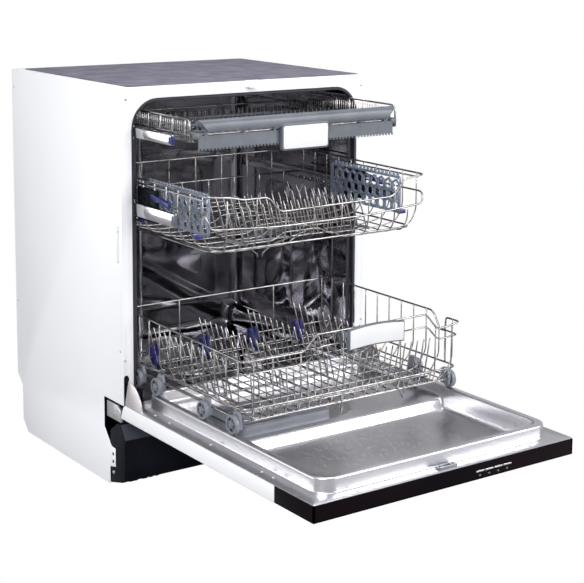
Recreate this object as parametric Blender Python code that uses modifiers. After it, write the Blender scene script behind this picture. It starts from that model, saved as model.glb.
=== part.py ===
"""A built-in dishwasher with its door open and its three racks drawn out.

Metres, +Z up. The origin is on the floor under the middle of the cabinet. The front faces -Y.
"""

import math

import bmesh
import bpy
from mathutils import Matrix, Vector

# Cabinet
WIDTH = 0.598
DEPTH = 0.500
HEIGHT = 0.820
SHEET = 0.0012
GAP = 0.0003
SIDE_FLANGE = 0.0235
TOE_DEPTH = 0.060
NOTCH_DEPTH = 0.083
NOTCH_TOP = 0.182
NOTCH_LOW = 0.118
TOE_TOP = 0.092
REAR_STEP = 0.025
REAR_STEP_TOP = 0.130
BASE_LIFT = 0.005
MAT_THICK = 0.002
MAT_INSET = 0.019
MAT_REAR = 0.030
RAIL_HEIGHT = 0.024

# Tub
TUB_FLOOR = 0.165
TUB_SETBACK = 0.012
TUB_BACK_ROOM = 0.022
TUB_CORNER = 0.055
LEDGE_WIDTH = 0.027
SUMP_RADIUS = 0.065
SALT_SIDE = 0.1055
SALT_BACK = 0.060
GASKET = 0.004
FEED_SETBACK = 0.010
TRACK_THICK = 0.004
RAIL_THICK = 0.008

# Door, lying level
PIVOT_OUT = 0.010
PIVOT_Z = 0.1775
FLANGE_RISE = 0.008
DOOR_THICK = 0.032
DOOR_TOP_GAP = 0.0035
DOOR_HEEL = 0.011
PANEL_HEIGHT = 0.115
PANEL_WALL = 0.003
RIM_INSET = 0.033
RIM_RISE = 0.027
RIM_WIDTH = 0.0145
RIM_START = 0.045
RIM_END = 0.026
PLATEAU = 0.323
SLOPE = 0.012
RECESS_DEPTH = 0.0233
QUADRANT = 0.061
ARM_THICK = 0.003
KEY_COUNT = 4
KEY_PITCH = 0.0218
KEY_WIDTH = 0.0205
KEY_HEIGHT = 0.0030
KEY_FIRST = 0.0675
DISPENSER_WIDTH = 0.206
DISPENSER_LENGTH = 0.137
DISPENSER_HEIGHT = 0.0195
DISPENSER_SIDE = 0.0375
LID_WIDTH = 0.092
LID_LENGTH = 0.058
LID_TRAVEL = 0.048
DISPENSER_FROM_RECESS = 0.021

# Racks
WIRE = 0.0021
BASKET_SIDE = 0.010
BASKET_ENDS = 0.024
BASKET_RISE = 0.128
BASKET_OUT = 0.385
WHEEL_RADIUS = 0.018
WHEEL_THICK = 0.010
TINE_SPREAD = 0.060
TINE_SHIFT = -0.020
TINE_RISE = 0.070
RACK_SIDE = 0.0178
RACK_ENDS = 0.0235
RACK_OUT = 0.2675
RACK_DROP = 0.183
RACK_RISE = 0.115
TRAY_SIDE = 0.0293
TRAY_ENDS = 0.046
TRAY_OUT = 0.196
TRAY_DROP = 0.0505
TRAY_RISE = 0.0415
RACK_HOME = 0.015
ARM_CLEARANCE = 0.020
RAIL_ENDS = 0.066
RACK_RAIL_OUT = 0.150
TRAY_RAIL_OUT = 0.1406

FRONT = -DEPTH / 2
BACK = DEPTH / 2
HALF = WIDTH / 2
FOOT_X = HALF - 0.050
FOOT_Y = FRONT + TOE_DEPTH + 0.030
TUB_HALF = HALF - SIDE_FLANGE
TUB_IN = TUB_HALF - SHEET
TUB_TOP = HEIGHT - RAIL_HEIGHT - MAT_THICK
TUB_FRONT = FRONT + TUB_SETBACK
TUB_BACK = BACK - TUB_BACK_ROOM
TUB_MIDDLE = (TUB_FRONT + TUB_BACK) / 2
PIVOT_Y = FRONT - PIVOT_OUT
FLANGE_Z = PIVOT_Z + FLANGE_RISE
FACE_Z = FLANGE_Z - DOOR_THICK
DOOR_TIP = PIVOT_Y - (HEIGHT - DOOR_TOP_GAP - PIVOT_Z)
PANEL_START = DOOR_TIP + PANEL_HEIGHT
RIM_HALF = HALF - RIM_INSET
RIM_TOP = FLANGE_Z + RIM_RISE
RIM_FAR = DOOR_TIP + RIM_END
WHEEL_X = RIM_HALF - RIM_WIDTH / 2
WHEEL_Z = RIM_TOP + GAP + WHEEL_RADIUS
BASKET_FLOOR = WHEEL_Z + 0.002
BASKET_RIM = BASKET_FLOOR + BASKET_RISE
TUB_DEPTH = TUB_BACK - TUB_FRONT
SALT_X = SALT_SIDE - TUB_HALF
DISPENSER_X = DISPENSER_WIDTH / 2 - (RIM_HALF - RIM_WIDTH - DISPENSER_SIDE)
BASKET_HALF = RIM_HALF - BASKET_SIDE
BASKET_LENGTH = TUB_DEPTH - BASKET_ENDS
RACK_HALF = TUB_IN - RACK_SIDE
RACK_LENGTH = TUB_DEPTH - RACK_ENDS
RACK_RIM = HEIGHT - RACK_DROP
RACK_FLOOR = RACK_RIM - RACK_RISE
TRAY_HALF = TUB_IN - TRAY_SIDE
TRAY_LENGTH = TUB_DEPTH - TRAY_ENDS
TRAY_RIM = HEIGHT - TRAY_DROP
TRAY_FLOOR = TRAY_RIM - TRAY_RISE
ARM_REACH = TUB_DEPTH / 2 - ARM_CLEARANCE
RACK_RAIL = (RACK_RIM - 0.072, RACK_RIM - 0.047)
TRAY_RAIL = (TRAY_RIM - 0.0495, TRAY_RIM - 0.0305)
RAIL_LENGTH = TUB_DEPTH - RAIL_ENDS
RAIL_OUTER = TUB_IN - TRACK_THICK - 2 * GAP
RAIL_INNER = RAIL_OUTER - RAIL_THICK
AXES = {"X": Vector((1, 0, 0)), "Y": Vector((0, 1, 0)), "Z": Vector((0, 0, 1))}

FINISHES = {
    "white_enamel": ((0.93, 0.93, 0.94), 0.35, 0.0),
    "stainless": ((0.62, 0.61, 0.63), 0.22, 1.0),
    "galvanised": ((0.60, 0.62, 0.65), 0.45, 0.9),
    "mat_grey": ((0.16, 0.15, 0.19), 0.85, 0.0),
    "black_plastic": ((0.02, 0.02, 0.03), 0.4, 0.0),
    "black_gloss": ((0.012, 0.011, 0.014), 0.12, 0.0),
    "rubber": ((0.03, 0.03, 0.035), 0.7, 0.0),
    "grey_plastic": ((0.20, 0.22, 0.26), 0.45, 0.0),
    "blue_plastic": ((0.02, 0.02, 0.20), 0.35, 0.0),
    "clear_blue": ((0.45, 0.52, 0.62), 0.2, 0.0),
    "wire": ((0.60, 0.58, 0.56), 0.25, 1.0),
    "cast": ((0.25, 0.25, 0.26), 0.6, 0.6),
}


def clear_scene():
    for obj in list(bpy.data.objects):
        bpy.data.objects.remove(obj)


def new_collection(name):
    made = bpy.data.collections.new(name)
    bpy.context.scene.collection.children.link(made)
    return made


def finish_material(name):
    color, roughness, metallic = FINISHES[name]
    made = bpy.data.materials.get(name) or bpy.data.materials.new(name)
    made.use_nodes = True
    shader = made.node_tree.nodes["Principled BSDF"]
    shader.inputs["Base Color"].default_value = (*color, 1)
    shader.inputs["Roughness"].default_value = roughness
    shader.inputs["Metallic"].default_value = metallic
    return made


def add(name, mesh, finish=None):
    """A named part, or a hidden helper where there is no finish."""
    obj = bpy.data.objects.new(name, mesh)
    if finish:
        PARTS.objects.link(obj)
        mesh.materials.append(finish_material(finish))
    else:
        HELPERS.objects.link(obj)
        obj.hide_render = True
        obj.display_type = "WIRE"
    return obj


def mesh_of(bm, name):
    mesh = bpy.data.meshes.new(name)
    bm.normal_update()
    bm.to_mesh(mesh)
    bm.free()
    return mesh


def box(name, low, high, finish=None, bevel=0.0):
    """A block between two corners, in either order."""
    size = [abs(b - a) for a, b in zip(low, high)]
    middle = [(a + b) / 2 for a, b in zip(low, high)]
    bm = bmesh.new()
    bmesh.ops.create_cube(bm, size=1)
    bmesh.ops.scale(bm, vec=size, verts=bm.verts)
    bmesh.ops.translate(bm, vec=middle, verts=bm.verts)
    obj = add(name, mesh_of(bm, name), finish)
    if bevel:
        round_edges(obj, bevel)
    return obj


def round_edges(obj, width, segments=2):
    made = obj.modifiers.new("rounded", "BEVEL")
    made.width = width
    made.segments = segments
    made.limit_method = "ANGLE"
    made.use_clamp_overlap = True


def from_curve(name, curve, matrix, finish):
    """The curve as a closed mesh, in place."""
    guide = bpy.data.objects.new(name + "_guide", curve)
    bpy.context.scene.collection.objects.link(guide)
    guide.matrix_world = matrix
    bpy.context.view_layer.update()
    graph = bpy.context.evaluated_depsgraph_get()
    mesh = bpy.data.meshes.new_from_object(guide.evaluated_get(graph))
    mesh.transform(matrix)
    mesh.materials.clear()
    bpy.data.objects.remove(guide)
    bm = bmesh.new()
    bm.from_mesh(mesh)
    bmesh.ops.remove_doubles(bm, verts=bm.verts, dist=0.00001)
    bmesh.ops.dissolve_limit(
        bm, angle_limit=0.001, use_dissolve_boundaries=False, verts=bm.verts, edges=bm.edges
    )
    bmesh.ops.recalc_face_normals(bm, faces=bm.faces)
    bm.to_mesh(mesh)
    bm.free()
    mesh.name = name
    return add(name, mesh, finish)


def prism(name, outline, axis, low, high, finish=None, holes=()):
    """A flat outline carried from low to high along an axis.

    The outline is (y, z) along X, (x, z) along Y and (x, y) along Z.
    """
    curve = bpy.data.curves.new(name, "CURVE")
    curve.dimensions = "2D"
    curve.fill_mode = "BOTH"
    curve.extrude = (high - low) / 2
    for loop in (outline, *holes):
        spline = curve.splines.new("POLY")
        spline.points.add(len(loop) - 1)
        for point, (u, v) in zip(spline.points, loop):
            point.co = (u, v, 0, 1)
        spline.use_cyclic_u = True
    across, up = {"X": ("Y", "Z"), "Y": ("X", "Z"), "Z": ("X", "Y")}[axis]
    turn = Matrix((AXES[across], AXES[up], AXES[across].cross(AXES[up]))).transposed()
    shift = Matrix.Translation(AXES[axis] * (low + high) / 2)
    return from_curve(name, curve, shift @ turn.to_4x4(), finish)


def rounded(left, low, right, high, radius, steps=5, corners="abcd"):
    """A rectangle's outline, with the named corners rounded, from the lower left one onwards."""
    places = {
        "a": ((left + radius, low + radius), 180),
        "b": ((right - radius, low + radius), 270),
        "c": ((right - radius, high - radius), 0),
        "d": ((left + radius, high - radius), 90),
    }
    sharp = {"a": (left, low), "b": (right, low), "c": (right, high), "d": (left, high)}
    points = []
    for corner, ((u, v), start) in places.items():
        if corner not in corners:
            points.append(sharp[corner])
            continue
        for step in range(steps + 1):
            angle = math.radians(start + 90 * step / steps)
            points.append((u + radius * math.cos(angle), v + radius * math.sin(angle)))
    return points


def rods(name, paths, radius, finish=None, closed=False, sides=0):
    """Straight-sided wires along some paths, which don't touch each other."""
    curve = bpy.data.curves.new(name, "CURVE")
    curve.dimensions = "3D"
    curve.bevel_depth = radius
    curve.bevel_resolution = sides
    curve.use_fill_caps = True
    for path in paths:
        spline = curve.splines.new("POLY")
        spline.points.add(len(path) - 1)
        for point, place in zip(spline.points, path):
            point.co = (*place, 1)
        spline.use_cyclic_u = closed
    return from_curve(name, curve, Matrix.Identity(4), finish)


def turned(name, profile, centre, axis="Z", finish=None, steps=20):
    """A profile of (radius, height), from the top down, turned about an axis through centre.

    A profile that ends where it begins makes a ring.
    """
    bm = bmesh.new()
    ring = profile[0] == profile[-1]
    points = [bm.verts.new((radius, 0, height)) for radius, height in profile[ring:]]
    for first, second in zip(points, points[1:]):
        bm.edges.new((first, second))
    if ring:
        bm.edges.new((points[-1], points[0]))
    obj = add(name, mesh_of(bm, name), finish)
    screw = obj.modifiers.new("turned", "SCREW")
    screw.steps = steps
    screw.render_steps = steps
    screw.use_merge_vertices = True
    screw.merge_threshold = 0.00001
    obj.location = centre
    obj.rotation_euler = AXES["Z"].rotation_difference(AXES[axis]).to_euler()
    return obj


def cylinder(name, radius, centre, length, axis="Z", finish=None, steps=20):
    """A round bar with its middle at centre."""
    half = length / 2
    profile = [(0, half), (radius, half), (radius, -half), (0, -half)]
    return turned(name, profile, centre, axis, finish, steps)


def combine(obj, others, operation):
    for other in others:
        made = obj.modifiers.new(other.name, "BOOLEAN")
        made.operation = operation
        made.object = other
    return obj


def cut(obj, *others):
    return combine(obj, others, "DIFFERENCE")


def join(obj, *others):
    return combine(obj, others, "UNION")


def set_pivot(obj, pivot):
    """Puts the object's origin on its joint's axis, and leaves its shape in place."""
    shift = Vector(pivot) - obj.location
    obj.data.transform(Matrix.Translation(-(obj.rotation_euler.to_matrix().inverted() @ shift)))
    obj.location = pivot
    return obj


def mirrored(maker):
    """Makes a left and a right piece. Side is -1 on the left."""
    for side, label in ((-1, "left"), (1, "right")):
        maker(side, label)


def span(side, inner, outer):
    """The X range of a piece between two distances from the middle, on one side."""
    return sorted((side * inner, side * outer))


# Cabinet


def side_outline():
    bottom = SHEET * 2
    return [
        (FRONT, HEIGHT - MAT_THICK),
        (FRONT, NOTCH_TOP),
        (FRONT + NOTCH_DEPTH, NOTCH_TOP),
        (FRONT + NOTCH_DEPTH, NOTCH_LOW),
        (FRONT + TOE_DEPTH, TOE_TOP),
        (FRONT + TOE_DEPTH, bottom),
        (BACK - 2 * REAR_STEP, bottom),
        (BACK - REAR_STEP, bottom + REAR_STEP),
        (BACK - REAR_STEP, REAR_STEP_TOP - REAR_STEP),
        (BACK, REAR_STEP_TOP),
        (BACK, HEIGHT - MAT_THICK),
    ]


def side_panel(side, label):
    left, right = span(side, HALF - SHEET, HALF)
    panel = prism(label + "_side_panel", side_outline(), "X", left, right, "white_enamel")
    left, right = span(side, TUB_HALF, HALF - SHEET / 2)
    flange = box(
        label + "_flange",
        (left, FRONT, NOTCH_TOP),
        (right, FRONT + SHEET, HEIGHT - MAT_THICK),
    )
    left, right = span(side, TUB_HALF + SHEET, HALF - SHEET / 2)
    fold = box(
        label + "_fold",
        (left, FRONT + SHEET / 2, HEIGHT - MAT_THICK - SHEET),
        (right, BACK - 2 * SHEET, HEIGHT - MAT_THICK),
    )
    left, right = span(side, HALF - 3 * ARM_THICK, HALF - SHEET - ARM_THICK / 2)
    slot = box(
        label + "_quadrant_slot",
        (left, FRONT - SHEET, NOTCH_TOP + SHEET),
        (right, FRONT + 2 * SHEET, PIVOT_Z + QUADRANT + ARM_THICK),
    )
    cut(join(panel, flange, fold), slot)


def top_mat():
    left = -HALF + MAT_INSET
    outline = [
        (left, FRONT + SHEET),
        (-0.012, FRONT + SHEET),
        (-0.010, FRONT + 0.008),
        (0.010, FRONT + 0.008),
        (0.012, FRONT + SHEET),
        (-left, FRONT + SHEET),
        (-left, BACK - MAT_REAR),
        (left, BACK - MAT_REAR),
    ]
    prism("top_mat", outline, "Z", HEIGHT - MAT_THICK + GAP, HEIGHT, "mat_grey")


def front_top_rail():
    top = HEIGHT - MAT_THICK
    edge = TUB_HALF - GAP
    rail = box(
        "front_top_rail", (-edge, FRONT, TUB_TOP + GAP), (edge, FRONT + SHEET, top), "white_enamel"
    )
    lid = box(
        "top_rail_fold",
        (-edge, FRONT + SHEET / 2, top - SHEET),
        (edge, BACK - 2 * SHEET, top),
    )
    slot = box(
        "striker_slot",
        (-0.009, FRONT - SHEET, TUB_TOP + 0.009),
        (0.009, FRONT + 2 * SHEET, TUB_TOP + 0.015),
    )
    cut(join(rail, lid), slot)


def back_panel():
    edge = HALF - SHEET - GAP
    box(
        "back_panel",
        (-edge, BACK - SHEET, REAR_STEP_TOP + SHEET),
        (edge, BACK, HEIGHT - MAT_THICK - SHEET - GAP),
        "galvanised",
    )


def base_tray():
    edge = HALF - SHEET - GAP
    wall = PANEL_WALL
    front = FRONT + TOE_DEPTH + SHEET
    back = BACK - 2 * REAR_STEP
    tray = box("base_tray", (-edge, front, BASE_LIFT), (edge, back, TOE_TOP - SHEET), "black_plastic")
    skid = box("rear_skid", (-0.060, back - 0.070, 0), (0.060, back - 0.020, BASE_LIFT + wall / 2))
    room = box(
        "base_room",
        (-edge + wall, front + wall, BASE_LIFT + wall),
        (edge - wall, back - wall, TOE_TOP),
    )
    holes = [
        cylinder(f"foot_hole_{side}", 0.0058, (side * FOOT_X, FOOT_Y, BASE_LIFT), 0.020, steps=12)
        for side in (-1, 1)
    ]
    cut(join(tray, skid), room, *holes)


def kick_plate():
    """The stepped plinth across the front, which stands under the open door."""
    low = BASE_LIFT
    front = FRONT
    back = FRONT + TOE_DEPTH + SHEET - GAP
    edge = HALF - SHEET - GAP
    outline = [
        (front, 0.024),
        (back, low),
        (back, TOE_TOP + 0.025),
        (front + 0.030, 0.138),
        (front + 0.020, 0.138),
        (front, 0.107),
    ]
    wall = PANEL_WALL
    inside = [
        (front + wall, 0.027),
        (back - wall, low + 0.006),
        (back - wall, TOE_TOP + 0.020),
        (front + 0.029, 0.134),
        (front + 0.022, 0.134),
        (front + wall, 0.106),
    ]
    plate = prism("kick_plate", outline, "X", -edge, edge, "black_plastic")
    room = prism("kick_plate_room", inside, "X", -edge + wall, edge - wall)
    window = box(
        "kick_plate_back",
        (-edge + 3 * wall, back - 2 * wall, 0.016),
        (edge - 3 * wall, back + wall, TOE_TOP),
    )
    cut(plate, room, window)


def hinge_bracket(side, label):
    left, right = span(side, HALF - SHEET - GAP - 0.006, HALF - SHEET - GAP)
    plate = box(
        "hinge_bracket_" + label,
        (left, FRONT + 0.016, NOTCH_LOW + 0.024),
        (right, FRONT + 0.074, PIVOT_Z),
        "galvanised",
    )
    bolt = cylinder(
        "bracket_bolt_" + label,
        0.0055,
        (side * (HALF - 0.0055), FRONT + 0.041, 0.156),
        0.010,
        "X",
    )
    join(plate, bolt)


def foot(side, label):
    middle = (side * FOOT_X, FOOT_Y, 0)
    pad = BASE_LIFT - GAP
    profile = [(0, 0.045), (0.005, 0.045), (0.005, pad), (0.018, pad), (0.020, 0), (0, 0)]
    turned("front_foot_" + label, profile, middle, "Z", "grey_plastic", 12)


# Tub and water path


def tub_outline(grow, front_lip=0.0):
    """The tub's section: rounded above, with a ledge low down on each side for the wheels."""
    side = TUB_IN + grow
    ledge = TUB_IN - LEDGE_WIDTH + grow
    top = TUB_TOP - SHEET + grow
    floor = TUB_FLOOR - grow
    step = RIM_TOP - grow
    radius = TUB_CORNER + grow
    fall = 0.002
    points = [(-ledge, floor), (ledge, floor), (ledge, step - fall), (side, step)]
    points += rounded(-side, step, side, top, radius, 6, "cd")[2:]
    points += [(-side, step), (-ledge, step - fall)]
    return points


def tub():
    shell = prism("tub", tub_outline(SHEET), "Y", TUB_FRONT, TUB_BACK, "stainless")
    room = prism("tub_room", tub_outline(0), "Y", TUB_FRONT - SHEET, TUB_BACK - SHEET)
    hole = cylinder("sump_hole", SUMP_RADIUS, (0, TUB_MIDDLE, TUB_FLOOR), 0.02, steps=24)
    pipe = cylinder("feed_hole", 0.0075, (0, TUB_BACK - FEED_SETBACK, TUB_FLOOR), 0.02, steps=12)
    salt = cylinder("salt_hole", 0.027, (SALT_X, TUB_MIDDLE + SALT_BACK, TUB_FLOOR), 0.02)
    cut(shell, room, hole, pipe, salt)


def door_gasket():
    """A black seal round the sides and top of the opening."""
    outer = rounded(-TUB_IN, RIM_TOP, TUB_IN, TUB_TOP - SHEET, TUB_CORNER, 6, "cd")
    edge = TUB_IN - GASKET
    high = TUB_TOP - SHEET - GASKET
    inner = rounded(-edge, RIM_TOP - SHEET, edge, high, TUB_CORNER - GASKET, 6, "cd")
    ring = prism("door_gasket", outer, "Y", FRONT + 2 * GAP, TUB_FRONT - GAP, "rubber")
    room = prism("gasket_room", inner, "Y", FRONT - SHEET, TUB_FRONT + SHEET)
    cut(ring, room)


def sump():
    radius = SUMP_RADIUS - 2 * GAP
    profile = [
        (radius, TUB_FLOOR + 0.001),
        (radius, 0.120),
        (0.045, 0.096),
        (0, 0.096),
    ]
    inner = [(0, 0.099), (0.043, 0.099), (radius - 0.003, 0.122), (radius - 0.003, TUB_FLOOR + 0.001)]
    turned("sump", inner + profile, (0, TUB_MIDDLE, 0), "Z", "black_plastic", 24)


def filter_parts():
    centre = (0, TUB_MIDDLE, 0)
    low = TUB_FLOOR + 0.0015
    plate = [
        (0.0365, low + 0.003),
        (0.105, low + 0.0035),
        (0.105, low),
        (0.0365, low),
        (0.0365, low + 0.003),
    ]
    turned("filter_plate", plate, centre, "Z", "stainless", 24)
    top = low + 0.010
    cup = [
        (0, 0.110),
        (0.030, 0.110),
        (0.030, top),
        (0.0355, top),
        (0.0355, top - 0.004),
        (0.033, top - 0.006),
        (0.033, 0.106),
        (0, 0.106),
    ]
    turned("filter_cup", cup, centre, "Z", "grey_plastic", 20)


def circulation_pump():
    middle = (0.150, TUB_MIDDLE + 0.020, 0.062)
    body = cylinder("circulation_pump", 0.045, middle, 0.110, "X", "cast")
    volute = cylinder("pump_volute", 0.050, (0.080, TUB_MIDDLE + 0.020, 0.062), 0.040, "X")
    join(body, volute)


def feed_tube():
    """The pipe that climbs the back wall to the spray arms above."""
    y = TUB_BACK - FEED_SETBACK
    radius = 0.006
    low = TUB_FLOOR - 0.010
    rods(
        "feed_tube",
        [[(0, y, low), (0, y, TUB_TOP - 0.012)]],
        radius,
        "stainless",
        sides=3,
    )


def water_softener():
    """The salt and water chamber, with its neck up through the tub's floor."""
    x = SALT_X
    y = TUB_MIDDLE + SALT_BACK
    body = box(
        "water_softener",
        (x - 0.050, y - 0.060, 0.030),
        (x + 0.050, y + 0.060, 0.140),
        "grey_plastic",
    )
    neck = cylinder("softener_neck", 0.0255, (x, y, 0.146), 0.040)
    bore = cylinder("softener_bore", 0.022, (x, y, 0.130), 0.080)
    cut(join(body, neck), bore)
    low = TUB_FLOOR + 0.0015
    cap = turned(
        "salt_cap",
        [(0, low + 0.012), (0.026, low + 0.010), (0.030, low), (0, low)],
        (x, y, 0),
        "Z",
        "grey_plastic",
    )
    grip = box("cap_grip", (x - 0.003, y - 0.020, low + 0.008), (x + 0.003, y + 0.020, low + 0.018))
    join(cap, grip)


def spray_arm(name, centre, radius, width, thick, angle=0.0):
    """A two-bladed arm round a hub, turned to the angle at which it rests."""
    x, y, z = centre
    blades = [
        (-radius, -width * 0.35),
        (-radius * 0.4, -width * 0.5),
        (0, -width * 0.75),
        (radius * 0.4, -width * 0.5),
        (radius, -width * 0.35),
        (radius * 1.02, 0),
        (radius, width * 0.35),
        (radius * 0.4, width * 0.5),
        (0, width * 0.75),
        (-radius * 0.4, width * 0.5),
        (-radius, width * 0.35),
        (-radius * 1.02, 0),
    ]
    arm = prism(name, blades, "Z", -thick / 2, thick / 2, "grey_plastic")
    hub = cylinder(name + "_hub", width * 0.45, (0, 0, 0), thick * 1.8, steps=12)
    hub.parent = arm
    join(arm, hub)
    round_edges(arm, thick * 0.15, 1)
    arm.location = (x, y, z)
    arm.rotation_euler = (0, 0, angle)
    return arm


def lower_spray_arm():
    centre = (0, TUB_MIDDLE, TUB_FLOOR + 0.0355)
    spray_arm("lower_spray_arm", centre, ARM_REACH - 0.008, 0.036, 0.010, math.radians(35))


def top_spray_arm():
    centre = (0, TUB_MIDDLE, TUB_TOP - SHEET - 0.010)
    spray_arm("top_spray_arm", centre, 0.110, 0.026, 0.006, math.radians(20))


def track(side, label):
    """The fixed channels on the tub's walls that carry the telescopic rails."""
    left, right = span(side, RAIL_OUTER + GAP, TUB_IN - GAP)
    for name, (low, high) in (("rack", RACK_RAIL), ("tray", TRAY_RAIL)):
        box(
            f"{name}_track_{label}",
            (left, TUB_FRONT + 0.008, low + 0.001),
            (right, TUB_BACK - 0.030, high - 0.001),
            "stainless",
        )


# Door


def door_outer_panel():
    """The white steel pan: its face, its two side edges and its heel."""
    edge = HALF
    face = box(
        "door_outer_panel",
        (-edge, PANEL_START + GAP, FACE_Z),
        (edge, FRONT + DOOR_HEEL, FACE_Z + SHEET),
        "white_enamel",
    )
    walls = []
    for side in (-1, 1):
        left, right = span(side, edge - SHEET, edge)
        walls.append(
            box(
                f"door_wall_{side}",
                (left, PANEL_START + GAP, FACE_Z + SHEET / 2),
                (right, FRONT - 0.004, FLANGE_Z - SHEET - GAP),
            )
        )
    join(face, *walls)


def recess_outline(grow):
    """The deep part of the liner, as (y, z): a slope down, a level floor and a slope up."""
    top = FLANGE_Z + (SHEET if grow == 0 else -SHEET / 2)
    start = FRONT - PLATEAU + grow
    end = RIM_FAR + RIM_WIDTH + 0.006 - grow
    floor = FLANGE_Z - RECESS_DEPTH - grow
    return [
        (start, top),
        (end, top),
        (end + 0.010, floor),
        (start - SLOPE, floor),
    ]


def door_liner():
    """The stainless inner door: flat flange, raised rim, plateau and deep recess."""
    edge = HALF - GAP
    near = FRONT - 0.004
    liner = box(
        "door_liner", (-edge, DOOR_TIP, FLANGE_Z - SHEET), (edge, near, FLANGE_Z), "stainless"
    )
    start = FRONT - RIM_START
    ring = prism(
        "rim_block",
        rounded(-RIM_HALF, RIM_FAR, RIM_HALF, start, 0.030),
        "Z",
        FLANGE_Z - SHEET / 2,
        RIM_TOP,
    )
    inner = RIM_HALF - RIM_WIDTH
    room = prism(
        "rim_room",
        rounded(-inner, RIM_FAR + RIM_WIDTH, inner, start - RIM_WIDTH, 0.016),
        "Z",
        FLANGE_Z,
        RIM_TOP + SHEET,
    )
    hollow = prism(
        "rim_hollow",
        rounded(-RIM_HALF + SHEET, RIM_FAR + SHEET, RIM_HALF - SHEET, start - SHEET, 0.029),
        "Z",
        FLANGE_Z - 2 * SHEET,
        RIM_TOP - SHEET,
        holes=[
            rounded(
                -inner - SHEET, RIM_FAR + RIM_WIDTH - SHEET, inner + SHEET, start - RIM_WIDTH + SHEET, 0.017
            )
        ],
    )
    side = inner - 0.002
    pan = prism("recess_pan", recess_outline(SHEET), "X", -side - SHEET, side + SHEET)
    deep = prism("recess_room", recess_outline(0), "X", -side, side)
    notches = []
    for sign in (-1, 1):
        left, right = span(sign, HALF - SHEET - ARM_THICK - 4 * GAP - 0.003, HALF + SHEET)
        notches.append(
            box(
                f"arm_notch_{sign}",
                (left, PIVOT_Y - QUADRANT - 0.002, FLANGE_Z - 2 * SHEET),
                (right, FRONT, FLANGE_Z + SHEET),
            )
        )
    cut(join(liner, ring), room, hollow)
    cut(join(liner, pan), deep, *notches)


def control_panel():
    """The black fascia, which is the top of the door when it is shut."""
    panel = box(
        "control_panel",
        (-HALF, DOOR_TIP, FACE_Z),
        (HALF, PANEL_START, FLANGE_Z - SHEET - GAP),
        "black_gloss",
    )
    wall = PANEL_WALL
    room = box(
        "panel_room",
        (-HALF + wall, DOOR_TIP + wall, FACE_Z + wall),
        (HALF - wall, PANEL_START - wall, FLANGE_Z),
    )
    slots = []
    for number in range(KEY_COUNT):
        x = KEY_FIRST + number * KEY_PITCH
        half = KEY_WIDTH / 2 + GAP
        slots.append(
            box(
                f"key_slot_{number + 1}",
                (x - half, DOOR_TIP - wall, KEY_Z - KEY_HEIGHT / 2 - GAP),
                (x + half, DOOR_TIP + 2 * wall, KEY_Z + KEY_HEIGHT / 2 + GAP),
            )
        )
    inner = RIM_HALF - RIM_WIDTH + 0.002
    relief = box(
        "recess_relief",
        (-inner, PANEL_START - 2 * wall, FLANGE_Z - RECESS_DEPTH - 2 * SHEET),
        (inner, PANEL_START + wall, FLANGE_Z),
    )
    cut(panel, room, relief, *slots)


def keys():
    for number in range(KEY_COUNT):
        x = KEY_FIRST + number * KEY_PITCH
        half = KEY_WIDTH / 2
        key = box(
            f"program_key_{number + 1}",
            (x - half, DOOR_TIP - 0.0006, KEY_Z - KEY_HEIGHT / 2),
            (x + half, DOOR_TIP + 0.008, KEY_Z + KEY_HEIGHT / 2),
            "galvanised",
        )
        set_pivot(key, (x, DOOR_TIP, KEY_Z))


def door_lock():
    """The lock that the striker on the cabinet enters."""
    y = DOOR_TIP + 0.015
    low = FLANGE_Z + GAP
    high = FLANGE_Z + 0.006
    body = box("door_lock", (-0.020, y - 0.008, low), (0.020, y + 0.008, high), "grey_plastic", 0.001)
    mouth = box("lock_mouth", (-0.008, y - 0.004, low + 0.002), (0.008, y + 0.004, high + 0.004))
    cut(body, mouth)


def hinge_arm(side, label):
    """A steel arm inside the door's edge, with the quadrant that swings into the cabinet."""
    left, right = span(side, HALF - SHEET - 2 * GAP - ARM_THICK, HALF - SHEET - 2 * GAP)
    low = FACE_Z + SHEET + GAP
    arc = []
    for step in range(7):
        angle = math.radians(97 + step * 73 / 6)
        arc.append((PIVOT_Y + QUADRANT * math.cos(angle), PIVOT_Z + QUADRANT * math.sin(angle)))
    outline = [
        (FRONT - 0.003, low),
        (FRONT - 0.003, PIVOT_Z + 0.012),
        *arc,
        (PIVOT_Y - QUADRANT, FLANGE_Z - 0.004),
        (PIVOT_Y - 0.260, FLANGE_Z - 0.006),
        (PIVOT_Y - 0.260, low),
    ]
    prism("hinge_arm_" + label, outline, "X", left, right, "galvanised")


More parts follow.
